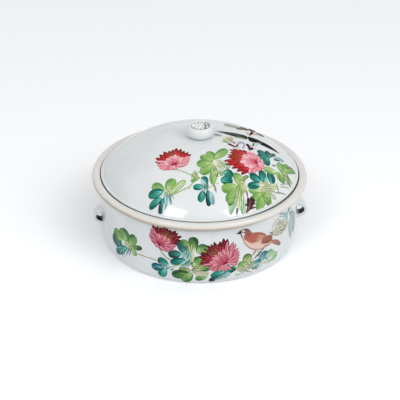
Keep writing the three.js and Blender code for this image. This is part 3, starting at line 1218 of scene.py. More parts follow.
LID_TAIL = (
    Mark((14.5, 3), (21.5, -1), 1.2, "988c94 b8acb4"),
    Mark((16.5, 4.5), (23.5, 1), 1.6, "d0c8d0 dcd4dc"),
    Mark((49, 5), (18.5, 11), 5, "2a332c 55646a 222a26", Nib.FEATHER),
    Mark((21, 10.5), (29.5, 8.5), 1.6, "74868c 4c5a5c"),
    Mark((35, 1.5), (47, 2), 1.4, "788a6c 90a082"),
    Mark((28, 9), (44.5, 6), 1.2, "4c5c4e 5c6c58"),
    Mark((30, 5.5), (39, 2.5), 1, "14181a 1c2220"),
    Mark((49.5, 3), (66.5, 4), 5.6, "0a0c0e 101214", Nib.FEATHER),
    Mark((52.5, 6.5), (61.5, 7.5), 1, "4a4c54 34363c"),
    Mark((57.5, -1), (66.5, 3), 1.1, "7c7e84 66686c"),
    Mark((61.5, 2.5), (81, -3.5), 4.3, "0c0e10 08090a", Nib.FEATHER),
)
LID_FAR_TWIG = (
    Mark((28.5, 36.5), (44, 31), 5.8, "c2ceba b4c0ac"),
    Mark((40.5, 29), (47, 27), 3.7, "8e8a80 7a766a"),
    Mark((45, 32.5), (54.5, 34.5), 4.4, "7c7668 625a4c"),
    Mark((48, 28.5), (55.5, 34), 2, "6a5e50 54483c"),
    Mark((54.5, 36.5), (56.5, 22.5), 1.6, "5c4434 42291c", Nib.LINE, 0.47),
    Mark((58, 30.5), (52, 12.5), 1.5, "42291c 503420"),
    Mark((59, 31), (59.5, 18.5), 1.9, "f0cdbc f2d8cc"),
    Mark((50.5, 23), (52, 14), 1.5, "ecdcd4 e4d0c4"),
    Mark((62, 31.5), (70.5, 28.5), 5, "a8aea6 7c847c"),
    Mark((56, 38), (63, 39), 4.8, "8c7c70 a0988c"),
)
LID_BUDS = (
    Mark((23, -3.5), (28, -11.5), 2.5, "dfe8c2 d4dcb4"),
    Mark((21.5, -9.5), (27, -13), 1.9, "b4cc94 a0b884"),
    Mark((26.5, 0.5), (33.5, -7), 2.7, "e8e6cc dcd8bc"),
    Mark((28, -8.5), (35, -11.5), 1.9, "d4c8b8 b8a498"),
    Mark((31.5, 0.5), (32.5, -6.5), 0.6, "7c6a50 8c7c60"),
    Mark((25, -4.5), (29.5, -9), 0.7, "a09c80 8c8468"),
    Mark((28, -3), (32, -9.5), 0.6, "a49484 8c7c70"),
    Mark((24, -8), (26.5, -13.5), 0.5, "88a468 7c9460"),
    Mark((26.5, -14.5), (31.5, -18), 1.6, "7c2048 8c2c44"),
    Mark((29.5, -17), (33.5, -19), 1.3, "4c2028 5c2c34"),
    Mark((31.5, -19.5), (36.5, -12), 0.7, "6a4c44 5c3c34", Nib.LINE, -0.33),
    Mark((32, -14), (35.5, -10), 0.6, "b8a49c a08c80"),
    Mark((33, -20), (38, -22.5), 1.3, "f0ead0 e8e0c0"),
    Mark((36.5, -20.5), (39, -10.5), 0.5, "a898b8 b8a8cc", Nib.LINE, 0.23),
    Mark((38.5, -11), (43.5, -9.5), 1.6, "c4b4d8 b8a8cc", Nib.LINE, 0.78),
    Mark((43.5, -9), (40.5, -19.5), 0.6, "b4a4cc 988cb0", Nib.LINE, 0.19),
    Mark((46.5, -9), (48, -16), 1.7, "341c1c 40201f"),
    Mark((47.5, -15), (48, -20.5), 1.3, "341a1c 4c2028"),
    Mark((52, -14), (47.5, -20.5), 1.3, "5a2434 421c26"),
    Mark((48.5, -10.5), (50, -15), 0.9, "b09890 a48c88"),
    Mark((54.5, -4), (52, -11), 0.8, "34544c 284840"),
    Mark((54, -10), (60, -0.5), 1.5, "d0ece4 c4e4dc"),
    Mark((51.5, -18.5), (56, -12.5), 0.4, "e4c4d4 dcb8cc"),
)
WALL_LEFT_SPRAY = (
    Stem(((-75, 23), (-63.5, 23.5), (-52, 23), (-45, 21.5)), 0.45, "a8b080 7f8a5c"),
    Mark((-93.5, 27.5), (-86, 28), 1.6, "e0d4b8 d8c8a8"),
    Lobe((-97, 29), (-110, 34.5), 6.4, Leaf.WALL_GREEN),
    Lobe((-89.5, 31.5), (-95.5, 44), 7.6, Leaf.WALL_GREEN),
    Lobe((-85.5, 28.5), (-78.5, 43), 5.1, Leaf.WALL_GREEN),
    Lobe((-80, 27.5), (-69.5, 32), 2.4, Leaf.DARK_GREEN),
    Lobe((-81.5, 26.5), (-77, 20), 3, Leaf.LIGHT_GREEN),
    Lobe((-97, 21.5), (-113, 28), 6.6, Leaf.DARK_TEAL),
    Lobe((-89, 24.5), (-106.5, 10.5), 4.2, Leaf.TEAL),
    Mark((-85, 27), (-91, 14.5), 0.6, "2f7f80 1f5f70"),
    Mark((-83.5, 26), (-86, 16.5), 0.6, "2f7f80 1f4f68"),
    Mark((-87, 26), (-93.5, 16), 0.6, "4fb0a8 7fd0c8"),
    Mark((-93.5, 32.5), (-86, 26.5), 1.1, "9cc070 b0cc84"),
    Mark((-83.5, 29), (-79, 23.5), 0.8, "b8d08c a0c074"),
    Tuft((-94.5, 22.5), (-101.5, 10), 40, 9, 0.4, "2f7478 a4d4d0 4c9890"),
    Tuft((-87.5, 30), (-79.5, 26), 40, 9, 0.6, "7ca454 d4e4b4 a4c47c"),
)
WALL_MIDDLE_LEAVES = (
    Stem(((-51, 40), (-47, 33.5), (-42.5, 29), (-37.5, 26.5)), 0.55, "9aa070 5f7048"),
    Stem(((-38.5, 18.5), (-29.5, 22.5), (-20.5, 24.5)), 0.5, "b8c890 7f9a60"),
    Lobe((-40.5, 20.5), (-51, 25), 4.1, Leaf.DEEP_TEAL),
    Lobe((-45, 15.5), (-58, 16), 4.3, Leaf.BLUE_TEAL),
    Mark((-56, 13), (-45.5, 14), 1.1, "1c5f66 17474f"),
    Lobe((-43.5, 16), (-49, 6), 4.2, Leaf.TURQUOISE),
    Mark((-42.5, 16.5), (-38, 24.5), 0.8, "9fd0cc c4e0dc"),
    Mark((-40.5, 19.5), (-36, 15), 1.1, "bcdcdc a8cccc"),
    Mark((-42.5, 15), (-37.5, 19.5), 0.5, "1f6068 2a7078"),
    Mark((-37.5, 14.5), (-34, 18.5), 0.6, "4f7f98 7fa0b0"),
    Lobe((-20, 45.5), (-28, 50), 3.6, Leaf.WALL_GREEN),
    Lobe((-14.5, 43.5), (-16, 55.5), 4.6, Leaf.DARK_GREEN),
    Lobe((-12.5, 38.5), (-2.5, 45.5), 5.7, Leaf.WALL_GREEN),
    Lobe((-23, 37), (-27, 50), 5.4, Leaf.DARK_TEAL),
    Lobe((-27.5, 35.5), (-40, 33), 4.4, Leaf.DARK_TEAL),
    Lobe((-23.5, 29.5), (-38, 24.5), 3.8, Leaf.DEEP_TEAL),
    Mark((-28, 36.5), (-21, 31), 1.8, "8fc4c0 a8d4d0"),
    Hatch((-18.5, 44), (-17.5, 27), 2.9, 9, "dfe4bc", "748a40"),
    Mark((-18.5, 30.5), (-29, 20), 0.7, "1f8a80 2a9a90"),
    Mark((-18, 29), (-25.5, 20.5), 0.5, "2a9a90 176a68"),
    Mark((-21, 31), (-30, 22.5), 0.5, "9ad0d4 b4dce0"),
    Mark((-17.5, 27), (-22, 20.5), 0.5, "2a9a90 176a68"),
    Lobe((-16.5, 21.5), (-10, 33), 4.1, Leaf.WALL_GREEN),
    Lobe((-16, 20), (0.5, 20), 4, Leaf.WALL_GREEN),
    Lobe((-17.5, 17), (-29.5, 17.5), 2.7, Leaf.OLIVE),
    Lobe((-18.5, 13.5), (-36.5, 11), 4.9, Leaf.DARK_GREEN),
    Lobe((-17, 14.5), (-24.5, 3), 4.7, Leaf.WALL_GREEN),
    Hatch((-16.5, 15.5), (0, 13.5), 4.4, 12, "d8dcc4", "75704e"),
    Lobe((-2, 10.5), (-13, 7), 3, Leaf.WALL_GREEN),
    Tuft((-19, 42), (-26.5, 26.5), 26, 11, 0.4, "1f8078 b8dcdc 7cb8b8 4c9890"),
    Tuft((-18, 38.5), (-18.5, 52.5), 34, 11, 0.4, "8ca454 e4e8c0 6c8840"),
    Tuft((-44.5, 23), (-48.5, 14), 50, 9, 0.3, "2a7078 b0d8d8 508c90"),
    Tuft((-17.5, 18), (-3.5, 18.5), 24, 13, 0.4, "7c7854 e8e8cc a4a880"),
    Tuft((-16, 26.5), (-10, 20.5), 40, 9, 0.4, "8ca45c d8e0b4"),
)
WALL_RIGHT_LEAVES = (
    Stem(((44.5, 23.5), (35.5, 16.5), (27, 13)), 0.4, "c4c898 98a070"),
    Stem(((42, 26), (31.5, 17.5), (25, 17)), 0.35, "c4c898 98a070"),
    Mark((27, 16.5), (46, 5.5), 0.4, "98a070 7f8a60"),
    Mark((34.5, 15.5), (40.5, 8), 0.4, "98a070 7f8a60"),
    Mark((26, 8.5), (32.5, 7.5), 0.5, "a8b088 98a078"),
    Mark((21, 12.5), (12, 8), 2.6, "a8c8cc 8fb4b8"),
    Mark((5, 5), (19, 6.5), 1, "c4d4d0 d4dedc"),
    Lobe((13.5, 10.5), (0, 5), 2.8, Leaf.GREY_TEAL),
    Lobe((16, 15), (2, 10), 3.5, Leaf.TEAL),
    Lobe((12.5, 12.5), (27, 16.5), 3.5, Leaf.DEEP_TEAL),
    Mark((6, 7), (0.5, 5), 1.1, "2f4a4a 223434"),
    Lobe((39.5, 19.5), (29, 19.5), 3.4, Leaf.GREEN),
    Lobe((36, 21), (41.5, 29), 5, Leaf.OLIVE),
    Mark((39.5, 20), (42.5, 25.5), 1.1, "d8dc9a c8d088"),
    Mark((45.5, 13), (54.5, 15), 1.7, "bcd8d4 9cc4c4"),
    Lobe((43.5, 14.5), (56, 16), 3.5, Leaf.BLUE_TEAL),
    Lobe((57, 16.5), (61.5, 25.5), 4.7, Leaf.BLUE_TEAL),
    Lobe((64.5, 13), (79, 15), 4.2, Leaf.MINT),
    Lobe((63.5, 14.5), (71, 23), 6, Leaf.MINT),
    Mark((60, 24.5), (57.5, 18), 0.9, "3f7f98 5f98a8"),
    Mark((45, 10), (50.5, 11.5), 1.1, "2f5f74 4f7f88"),
    Hatch((49.5, 14.5), (68.5, 10), 1.9, 8, "d8e0d0", "98a888"),
    Mark((31.5, 12.5), (57.5, 9.5), 0.5, "b8bc98 c8ccb0"),
    Tuft((46, 11.5), (37, 25.5), 30, 9, 0.4, "88a474 dce4c0 708c60"),
    Tuft((53.5, 15), (47, 8.5), 40, 9, 0.6, "5c8c94 c4dce0 84acac"),
    Tuft((62.5, 15), (70, 23), 34, 11, 0.8, "8cb49c dcead8 a8c8ac"),
    Tuft((57, 16.5), (54.5, 27), 30, 7, 0.5, "4c8490 a4c8cc"),
    Tuft((27, 17), (42, 9.5), 20, 9, 0.3, "98a070 d8dcb8"),
)
WALL_TWIG = (
    Mark((49, 31.5), (44, 25.5), 1.3, "a89888 c0b4a4"),
    Mark((60, 32.5), (56, 28), 0.9, "4a4040 3a3232"),
    Mark((56.5, 28.5), (49, 23.5), 0.9, "3a3232 4a4242"),
    Mark((50.5, 25), (47.5, 21.5), 0.7, "4a4242 5f564c"),
    Mark((50.5, 25.5), (53, 22), 0.4, "3a3232 4a4242"),
    Mark((52.5, 27.5), (51, 29), 0.4, "3a3232 4a4242"),
)
WALL_FAN_LEAF = (
    Mark((103, 43.5), (107.5, 18), 5.1, "b8cac4 acc0bc"),
    Mark((113.5, 44), (116, 20), 5.8, "a4b4b0 98aaa6"),
    Mark((101.5, 52.5), (117.5, 33), 3.5, "b0beb6 a4b4ac"),
    Lobe((67.5, 43), (98, 42), 7.3, Leaf.DRY_LEAF),
    Lobe((68, 43), (85, 38.5), 3.2, Leaf.DRY_LEAF),
    Lobe((70, 45.5), (81, 53), 5, Leaf.DRY_LEAF),
    Tuft((68, 42.5), (94.5, 43), 22, 11, 0.45, "8e927a f4f7e6 a4a890"),
    Tuft((75.5, 44), (96, 39.5), 30, 8, 0.38, "969a80 f0f4dc"),
    Tuft((73, 45.5), (84, 51.5), 22, 7, 0.5, "969a82 f6f9ea"),
    Mark((66, 45.5), (70.5, 40.5), 0.9, "849090 949c90"),
    Mark((79.5, 60), (90, 51), 0.7, "749a9c 88a8a8", Nib.LINE, 0.38),
    Mark((80, 57), (87.5, 52.5), 0.5, "88a8a8 9cb8b8", Nib.LINE, 0.23),
    Mark((88.5, 57.5), (97, 45), 2.4, "a0cece b0d4d0"),
    Mark((93, 56.5), (96, 46.5), 1.1, "78b0b4 88bcbc"),
    Mark((89.5, 55), (93, 48), 0.7, "84b4b4 98c4c4"),
    Mark((97, 56.5), (108, 52), 1.8, "b4ccdc dceaf2"),
    Mark((98, 54), (101, 56.5), 1.4, "8ca4b4", Nib.LINE, 1.65),
    Mark((99.5, 51), (114, 46.5), 1.1, "8ca49c a0b4ac"),
)
WALL_BIRD = (
    Mark((67.5, 34.5), (84, 23), 2.6, "c88272 98706a b07a6c", Nib.LOBE, 0.09),
    Mark((70.5, 33.5), (83, 25), 0.3, "8a5048", Nib.LINE, 0.09),
    Mark((71, 31), (83, 22.5), 0.3, "8a5048", Nib.LINE, 0.04),
    Mark((32.5, 53), (69.5, 34), 3, "c0a094", Nib.LOBE, -0.45),
    Mark((36, 50), (67, 36.5), 4.6, "f0d2c2 ecccba e4bca8", Nib.LOBE, -0.12),
    Mark((33, 53), (69.5, 34.5), 2.6, "f0d6c8 ecccba e4bca8", Nib.LOBE, -0.44),
    Mark((58, 33), (70.5, 32.5), 0.9, "b88878 a87464", Nib.BLADE, -0.2),
    Mark((42.5, 52), (61, 43.5), 1.6, "a85e52 b47466", Nib.LOBE, 0.14),
    Mark((42, 48.5), (62, 39), 4.6, "c47c60 dca884 d8a484", Nib.LOBE, 0.02),
    Mark((34, 51.5), (53, 43.5), 5.4, "b8685a c06e58 b4644e", Nib.LOBE, 0),
    Mark((35, 56), (43, 48.5), 2.5, "94544a a85a4c", Nib.LOBE, 0.12),
    Mark((37.5, 47), (47, 40.5), 0.7, "c87e66 d09078", Nib.BLADE, -0.28),
    Mark((39, 52), (49, 47.5), 0.6, "c4705c bc6856", Nib.BLADE, 0.09),
    Mark((54, 40.5), (70, 37), 4.5, "b07262 a4604e 96564a", Nib.LOBE, -0.01),
    Mark((55.5, 44.5), (65, 40.5), 0.5, "b09490 a88880", Nib.BLADE, 0.17),
    Mark((56.5, 41.5), (68, 37.5), 0.4, "7c4038", Nib.LINE, 0.09),
    Mark((56, 39), (68, 36.5), 0.4, "7c4038", Nib.LINE, -0.03),
    Mark((55, 37), (68, 35.5), 0.4, "7c4038", Nib.LINE, -0.13),
    Mark((54.5, 42.5), (50, 34), 1.9, "e0b498 efdacc", Nib.LOBE, 0.03),
    Mark((30.5, 58), (41.5, 53), 2, "8c6a66 a0645a", Nib.LOBE, 0.18),
    Mark((29.5, 58), (42.5, 52.5), 0.6, "4c3c3e 6a4844", Nib.LINE, 0.5),
    Mark((31, 58.5), (35, 56.5), 1.1, "f6f3f0", Nib.LOBE, 0.25),
    Mark((31.5, 55.5), (34, 50), 0.8, "f0efee", Nib.BLADE, 0.16),
    Mark((31.5, 58.5), (33, 58), 0.5, "1a181c", Nib.EVEN, 0.08),
    Mark((29.5, 58.5), (31.5, 55), 0.8, "3a383e", Nib.LOBE, -0.23),
    Mark((31.5, 56), (26.5, 56), 1.2, "2a282c", Nib.SPIKE, -0.18),
    Mark((31, 55), (33, 49.5), 0.6, "4c525e 6c6468", Nib.BLADE, -0.05),
)
LID_BLOSSOM_LEFT = (
    Blossom(
        (-29.5, -45), 90, Petals.LID,
        (
            (-72, 5.5), (-40, 8), (-17, 11.5), (8, 16), (23, 18), (50, 23), (66, 24),
            (80, 26), (90, 25), (100, 24), (110, 25), (122, 24), (137, 23), (153, 20.5),
            (167, 17), (182, 14), (199, 10.5), (219, 7), (252, 5.5), (288, 5.5),
        ),
        (
            (34, 148, 11), (40, 142, 9), (46, 136, 8), (78, 104, 5), (-24, 30, 5), (206, 150, 5),
            (228, 316, 5), (22, 160, 8), (44, 140, 5),
        ),
        11,
    ),
)
LID_BLOSSOM_RIGHT = (
    Blossom(
        (53, -38), 178, Petals.LID,
        (
            (41, 7.5), (71, 11.5), (89, 14.5), (105, 16.5), (121, 18), (134, 24), (151, 27.5),
            (164, 29), (173, 29.5), (181, 29.5), (190, 31), (198, 32), (210, 30), (226, 28),
            (239, 20.5), (251, 15.5), (279, 10), (324, 7.5), (401, 7.5),
        ),
        (
            (124, 236, 13), (128, 232, 11), (134, 226, 9), (160, 186, 4), (52, 120, 7), (296, 242, 6),
            (316, 398, 6), (114, 244, 9), (126, 232, 6),
        ),
        23,
    ),
)
WALL_BLOSSOM_LEFT = (
    Blossom(
        (-50.5, 43), 50, Petals.WALL,
        (
            (-67, 5.5), (-50, 9), (-38, 12.5), (-16, 15.5), (5, 19.5), (15, 22.5), (24, 25),
            (34, 25.5), (45, 24.5), (53, 22.5), (63, 22), (74, 21), (82, 20.5), (94, 19.5),
            (104, 19.5), (121, 17), (141, 13.5), (154, 11.5), (171, 7.5), (203, 4.5), (293, 4.5),
        ),
        (
            (8, 110, 12), (12, 104, 10), (18, 96, 8), (40, 66, 5), (-52, 4, 6), (176, 112, 6),
            (200, 290, 4), (4, 104, 7), (18, 90, 4),
        ),
        37, "7c1428",
    ),
)
WALL_BLOSSOM_RIGHT = (
    Blossom(
        (16, 24), 122, Petals.WALL,
        (
            (-33, 11), (-15, 13.5), (11, 14.5), (34, 17), (51, 21), (66, 25.5), (78, 27),
            (90, 27.5), (103, 28), (116, 29), (127, 28), (139, 27.5), (148, 28), (162, 28.5),
            (175, 25.5), (185, 24), (198, 18), (222, 12), (248, 8.5), (299, 8), (327, 11),
        ),
        (
            (88, 180, 12), (92, 174, 10), (98, 168, 8), (122, 140, 5), (-26, 84, 10), (226, 184, 5),
            (234, 322, 6), (66, 186, 8), (80, 172, 5),
        ),
        41, "7c1428",
    ),
)


@dataclass(frozen=True)
class BoxBody(Sheet):
    """The thrown box: foot ring, rounded bottom edge, straight wall, rim with its ledge, floor."""

    wall_radius: float = 101.9
    wall_thickness: float = 4.7
    foot_radius: float = 94.7
    foot_width: float = 7.7
    foot_slope: float = 1.2
    lower_height: float = 14.6
    lower_power: float = 3.0
    base_recess: float = 3.0
    base_thickness: float = 5.0
    floor_round: float = 9.0
    nose_radius: float = 3.4
    cove_height: float = 6.1
    gallery: float = 101.75
    inner_round: float = 1.2
    rim_fall: float = 1.0
    ledge: float = 69.2
    foot_soft: float = 0.7
    ledge_soft: float = 0.4
    inner_soft: float = 0.8
    longest_step: float = 4.0
    lowest_paint: float = 0.8
    turns: int = 288
    wobble: Wobble = Wobble()

    @property
    def rim_radius(self) -> float:
        """The rim's greatest radius, from the frame."""
        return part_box("box_body")[1].x / MM

    @property
    def rim_top(self) -> float:
        """The height of the rim, from the frame."""
        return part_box("box_body")[1].z / MM

    @property
    def lip(self) -> float:
        """The height of the rim's inner edge, to which its top falls inwards."""
        return self.rim_top - self.rim_fall

    @property
    def nose(self) -> float:
        """The radius at which the rim's rounded nose has its centre."""
        return self.rim_radius - self.nose_radius

    @property
    def cove(self) -> float:
        """The height at which the wall ends and the cove under the rim begins."""
        return self.rim_top - 2 * self.nose_radius - self.cove_height

    def radius_at(self, height: np.ndarray) -> np.ndarray:
        """The outside radius at a height.

        Below the straight wall it is a super-ellipse quarter, foot + run (1 - (1 - z/h)^n)^(1/n),
        and in the cove under the rim an ellipse quarter that turns outwards.

        Args:
            height: heights on the outside, below the rim's nose.

        Returns:
            The radii.
        """
        run = self.wall_radius - self.foot_radius
        power = self.lower_power
        low = np.clip(1 - height / self.lower_height, 0, 1)
        lower = self.foot_radius + run * (1 - low**power) ** (1 / power)
        up = np.clip((height - self.cove) / self.cove_height, 0, 1)
        return lower + (self.nose - self.wall_radius) * (1 - np.sqrt(1 - up**2))

    def point(self, place: np.ndarray) -> tuple[np.ndarray, np.ndarray]:
        """Points of the outside. The normal goes as (cos a, sin a, -slope of the radius).

        Args:
            place: pairs of the arc length round the wall from the front, and the height.

        Returns:
            The points and the unit normals.
        """
        angle = place[..., 0] / self.wall_radius - pi / 2
        height = np.maximum(place[..., 1], self.lowest_paint)
        step = 0.05
        slope = (self.radius_at(height + step) - self.radius_at(height - step)) / (2 * step)
        radius = self.wobble.at(self.radius_at(height), angle)
        point = np.stack([radius * np.cos(angle), radius * np.sin(angle), height], -1)
        normal = np.stack([np.cos(angle), np.sin(angle), -slope], -1)
        return point, normal / np.linalg.norm(normal, axis=-1, keepdims=True)

    def profile(self) -> np.ndarray:
        """The section from the underside's centre, out and up the wall, to the floor's centre.

        Returns:
            Radius and height pairs.
        """
        foot_inner = self.foot_radius - self.foot_width
        recess = (foot_inner - self.foot_slope, self.base_recess)
        inner = self.wall_radius - self.wall_thickness
        floor = self.base_recess + self.base_thickness
        angle = np.linspace(pi / 2, 0, 28)
        share = 2 / self.lower_power
        run = self.wall_radius - self.foot_radius
        lower = np.stack([
            self.foot_radius + run * np.cos(angle) ** share,
            self.lower_height * (1 - np.sin(angle) ** share),
        ], -1)
        cove_size = (self.nose - self.wall_radius, self.cove_height)
        lip_round, floor_round = (self.inner_round,) * 2, (self.floor_round,) * 2
        lip, ledge = (self.gallery, self.lip), (self.gallery, self.ledge)
        parts = [
            [[0, self.base_recess]],
            rounded((0, self.base_recess), recess, (foot_inner, 0), self.inner_soft),
            rounded(recess, (foot_inner, 0), (self.foot_radius, 0), self.foot_soft),
            lower,
            arc((self.nose, self.cove), cove_size, 180, 90, 14),
            arc((self.nose, self.rim_top - self.nose_radius), (self.nose_radius,) * 2, -90, 90, 24)[1:],
            arc((self.gallery + self.inner_round, self.lip - self.inner_round), lip_round, 90, 180, 8),
            rounded(lip, ledge, (inner, self.ledge), self.ledge_soft),
            rounded(ledge, (inner, self.ledge), (inner, floor), self.inner_soft),
            arc((inner - self.floor_round, floor + self.floor_round), floor_round, 0, -90, 16),
            [[0, floor]],
        ]
        return fine(np.concatenate(parts), self.longest_step)

    def face(self, p: Place) -> Wire:
        """The rim's top face, which is greyer than the wall."""
        return p.r.step(self.gallery - 1, self.gallery + 1) * p.z.step(self.rim_top - 5, self.rim_top - 2)

    def blush(self, p: Place) -> Wire:
        """A warm line along the rim's nose, which stops at the far left."""
        line = WearAndShadeBand(
            radii=(self.nose + 0.6, self.nose + 1.8), heights=(self.rim_top - 4.0, self.rim_top - 2.2),
            soft=0.6, strays=0.6, strength=0.7, weaker=0.5, across=(20.0, 100.0),
        )
        return line.mask(p) * p.x.step(-108.0, -78.0)

    def bare_and_shaded_edge(self, p: Place) -> Wire:
        """The rim's outer edge: almost bare of glaze, and darkened by painted shade on the nose's lower side
        that weakens towards the right, in a band that rises at the far left.
        """
        edge = WearAndShadeBand(
            radii=(self.nose + 1.0, self.nose + 2.0), heights=(self.rim_top - 7.0, self.rim_top - 3.8),
            soft=0.7, strays=0.7, strength=0.85, weaker=0.4, across=(0.0, 90.0),
        )
        return edge.mask(p, p.x.step(-45.0, -92.0) * 1.7)

    def cove_shade(self, p: Place) -> Wire:
        """Painted shade in the cove under the rim, weaker towards the right."""
        cove = WearAndShadeBand(
            radii=(self.wall_radius - 0.6, self.wall_radius - 0.2), heights=(61.8, 67.5),
            soft=1.3, strays=0.6, strength=0.62, weaker=0.4, across=(-20.0, 80.0),
        )
        return cove.mask(p)

    def bare_ledge(self, p: Place) -> Wire:
        """The ledge that the lid rests on, bare of glaze."""
        level = p.z.step(self.ledge + 0.4, self.ledge + 0.2) * p.z.step(self.ledge - 1.5, self.ledge - 0.8)
        return p.r.band(self.gallery - 5.0, self.gallery - 0.3, 0.3) * level

    def seam_shade(self, p: Place) -> Wire:
        """Painted shade on the upright face between the ledge and the rim's inner edge, the dark gap round
        the lid.
        """
        ring = p.r.band(self.gallery - 0.7, self.gallery + 0.15, 0.3)
        return ring * p.z.band(self.ledge - 0.4, self.lip - 0.5, 0.3)

    def bare_foot(self, p: Place) -> Wire:
        """The foot ring's lower edge, bare of glaze."""
        return p.z.step(0.5, 0.15)

    def lug_root_shade(self, p: Place) -> Wire:
        """Painted shade on the stretches of wall behind the two lugs, seen through their holes."""
        stretch = (p.y + 5.3).band(-5.6, 5.2, 0.6) * p.z.band(23.0, 33.0, 1.2)
        return p.r.step(self.wall_radius - 1, self.wall_radius - 0.4) * stretch * 0.92

    def build(self, glaze: Glaze) -> bpy.types.Object:
        """Makes the glazed box in place of its plain node, with its stains laid on in order.

        Args:
            glaze: what it is covered with.

        Returns:
            The new piece.
        """
        zones = [
            Zone(Stain.RIM_FACE, self.face),
            Zone(Stain.RIM_BLUSH, self.blush),
            Zone(Stain.RIM_EDGE, self.bare_and_shaded_edge),
            Zone(Stain.UNDER_RIM_SHADE, self.cove_shade),
            Zone(Stain.LEDGE, self.bare_ledge),
            Zone(Stain.SEAM_SHADE, self.seam_shade),
            Zone(Stain.FOOT, self.bare_foot),
            Zone(Stain.LUG_ROOT_SHADE, self.lug_root_shade),
        ]
        material = glaze.material("box_glaze", zones)
        skin = turned(self.profile(), self.turns, self.wobble)
        piece = add_piece("glazed_box", *skin, material, "box", "porcelain")
        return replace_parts(piece, "box_body")


@dataclass(frozen=True)
class Lug:
    """A strap of clay bent to a half loop and pressed on the wall, with glaze run into its roots."""

    name: str
    node: str
    angle: float
    start: float = 99.9
    middle: float = 28.5
    outer: Point = (10.5, 9.5)
    inner: Point = (7.5, 5.2)
    stained_from: float = 90.0
    stain_margin: float = 0.2
    stain_edge: Point = (1.22, 1.05)
    half_width: float = 5.5
    squareness: float = 3.4
    flare: float = 0.9
    flare_length: float = 1.5
    flare_depth: float = 0.6
    wall: float = 101.9
    steps: int = 72
    loop: int = 48

    def grid(self) -> np.ndarray:
        """The strap's skin: a squarish ring carried along half an ellipse.

        The ring is a super-ellipse (|cos|^(2/n), |sin|^(2/n)) whose half-width and half-thickness
        grow by a flare that fades with the distance from the wall.

        Returns:
            The points, ring by ring from the lower root to the upper one.
        """
        turn = np.radians(np.linspace(-90, 90, self.steps))
        half = [(a + b) / 2 for a, b in zip(self.outer, self.inner)]
        thick = [(a - b) / 2 for a, b in zip(self.outer, self.inner)]
        reach = self.start + half[0] * np.cos(turn)
        height = self.middle + half[1] * np.sin(turn)
        tangent = np.stack([-half[0] * np.sin(turn), half[1] * np.cos(turn)], -1)
        tangent /= np.linalg.norm(tangent, axis=1, keepdims=True)
        root = self.flare * np.exp(-np.clip(reach - self.wall, 0, None) / self.flare_length)
        depth = np.hypot(thick[0] * np.cos(turn), thick[1] * np.sin(turn)) + root * self.flare_depth
        width = self.half_width + root
        around = 2 * pi * np.arange(self.loop) / self.loop
        power = 2 / self.squareness
        across = np.sign(np.cos(around)) * np.abs(np.cos(around)) ** power
        beside = np.sign(np.sin(around)) * np.abs(np.sin(around)) ** power
        radial = reach[:, None] + (tangent[:, 1] * depth)[:, None] * across
        up = height[:, None] - (tangent[:, 0] * depth)[:, None] * across
        out = np.array([cos(radians(self.angle)), sin(radians(self.angle)), 0])
        along = np.array([-out[1], out[0], 0])
        level = radial[..., None] * out + (width[:, None] * beside)[..., None] * along
        return level + up[..., None] * [0, 0, 1]

    def loop_stain_and_shade(self, p: Place) -> Wire:
        """The dark stain that a handle has left inside the loop, and a weaker grey of painted shade nearer
        the wall.

        It fills the ellipse ((r - start) / a)^2 + ((z - middle) / b)^2 = 1, where a and b are the
        hole's half-sizes with a margin. It is full only beyond the radius stained_from, and nearer
        the wall it is 0.4 as strong, a painted shade.

        Args:
            p: where the point lies.

        Returns:
            The stain's mask.
        """
        outwards = (p.r - self.start) / (self.inner[0] + self.stain_margin)
        upwards = (p.z - self.middle) / (self.inner[1] + self.stain_margin)
        inside = (outwards**2.0 + upwards**2.0 + p.ragged(2.5) * 0.06).step(*self.stain_edge)
        # the weaker share nearer the wall is painted shade
        return inside * (p.r.step(self.stained_from - 0.5, self.stained_from + 0.7) * 0.6 + 0.4)

    def build(self, glaze: Glaze) -> bpy.types.Object:
        """Makes the lug in place of its plain node.

        Args:
            glaze: what it is covered with.

        Returns:
            The new piece.
        """
        grid = self.grid()
        poles = [grid[0].mean(0), grid[-1].mean(0)]
        skin = np.concatenate([grid.reshape(-1, 3), poles]), skin_faces(self.steps, self.loop)
        material = glaze.material(f"{self.name}_glaze", [Zone(Stain.LUG_LOOP, self.loop_stain_and_shade)])
        piece = add_piece(self.name, *skin, material, "box", "porcelain")
        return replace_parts(piece, self.node)


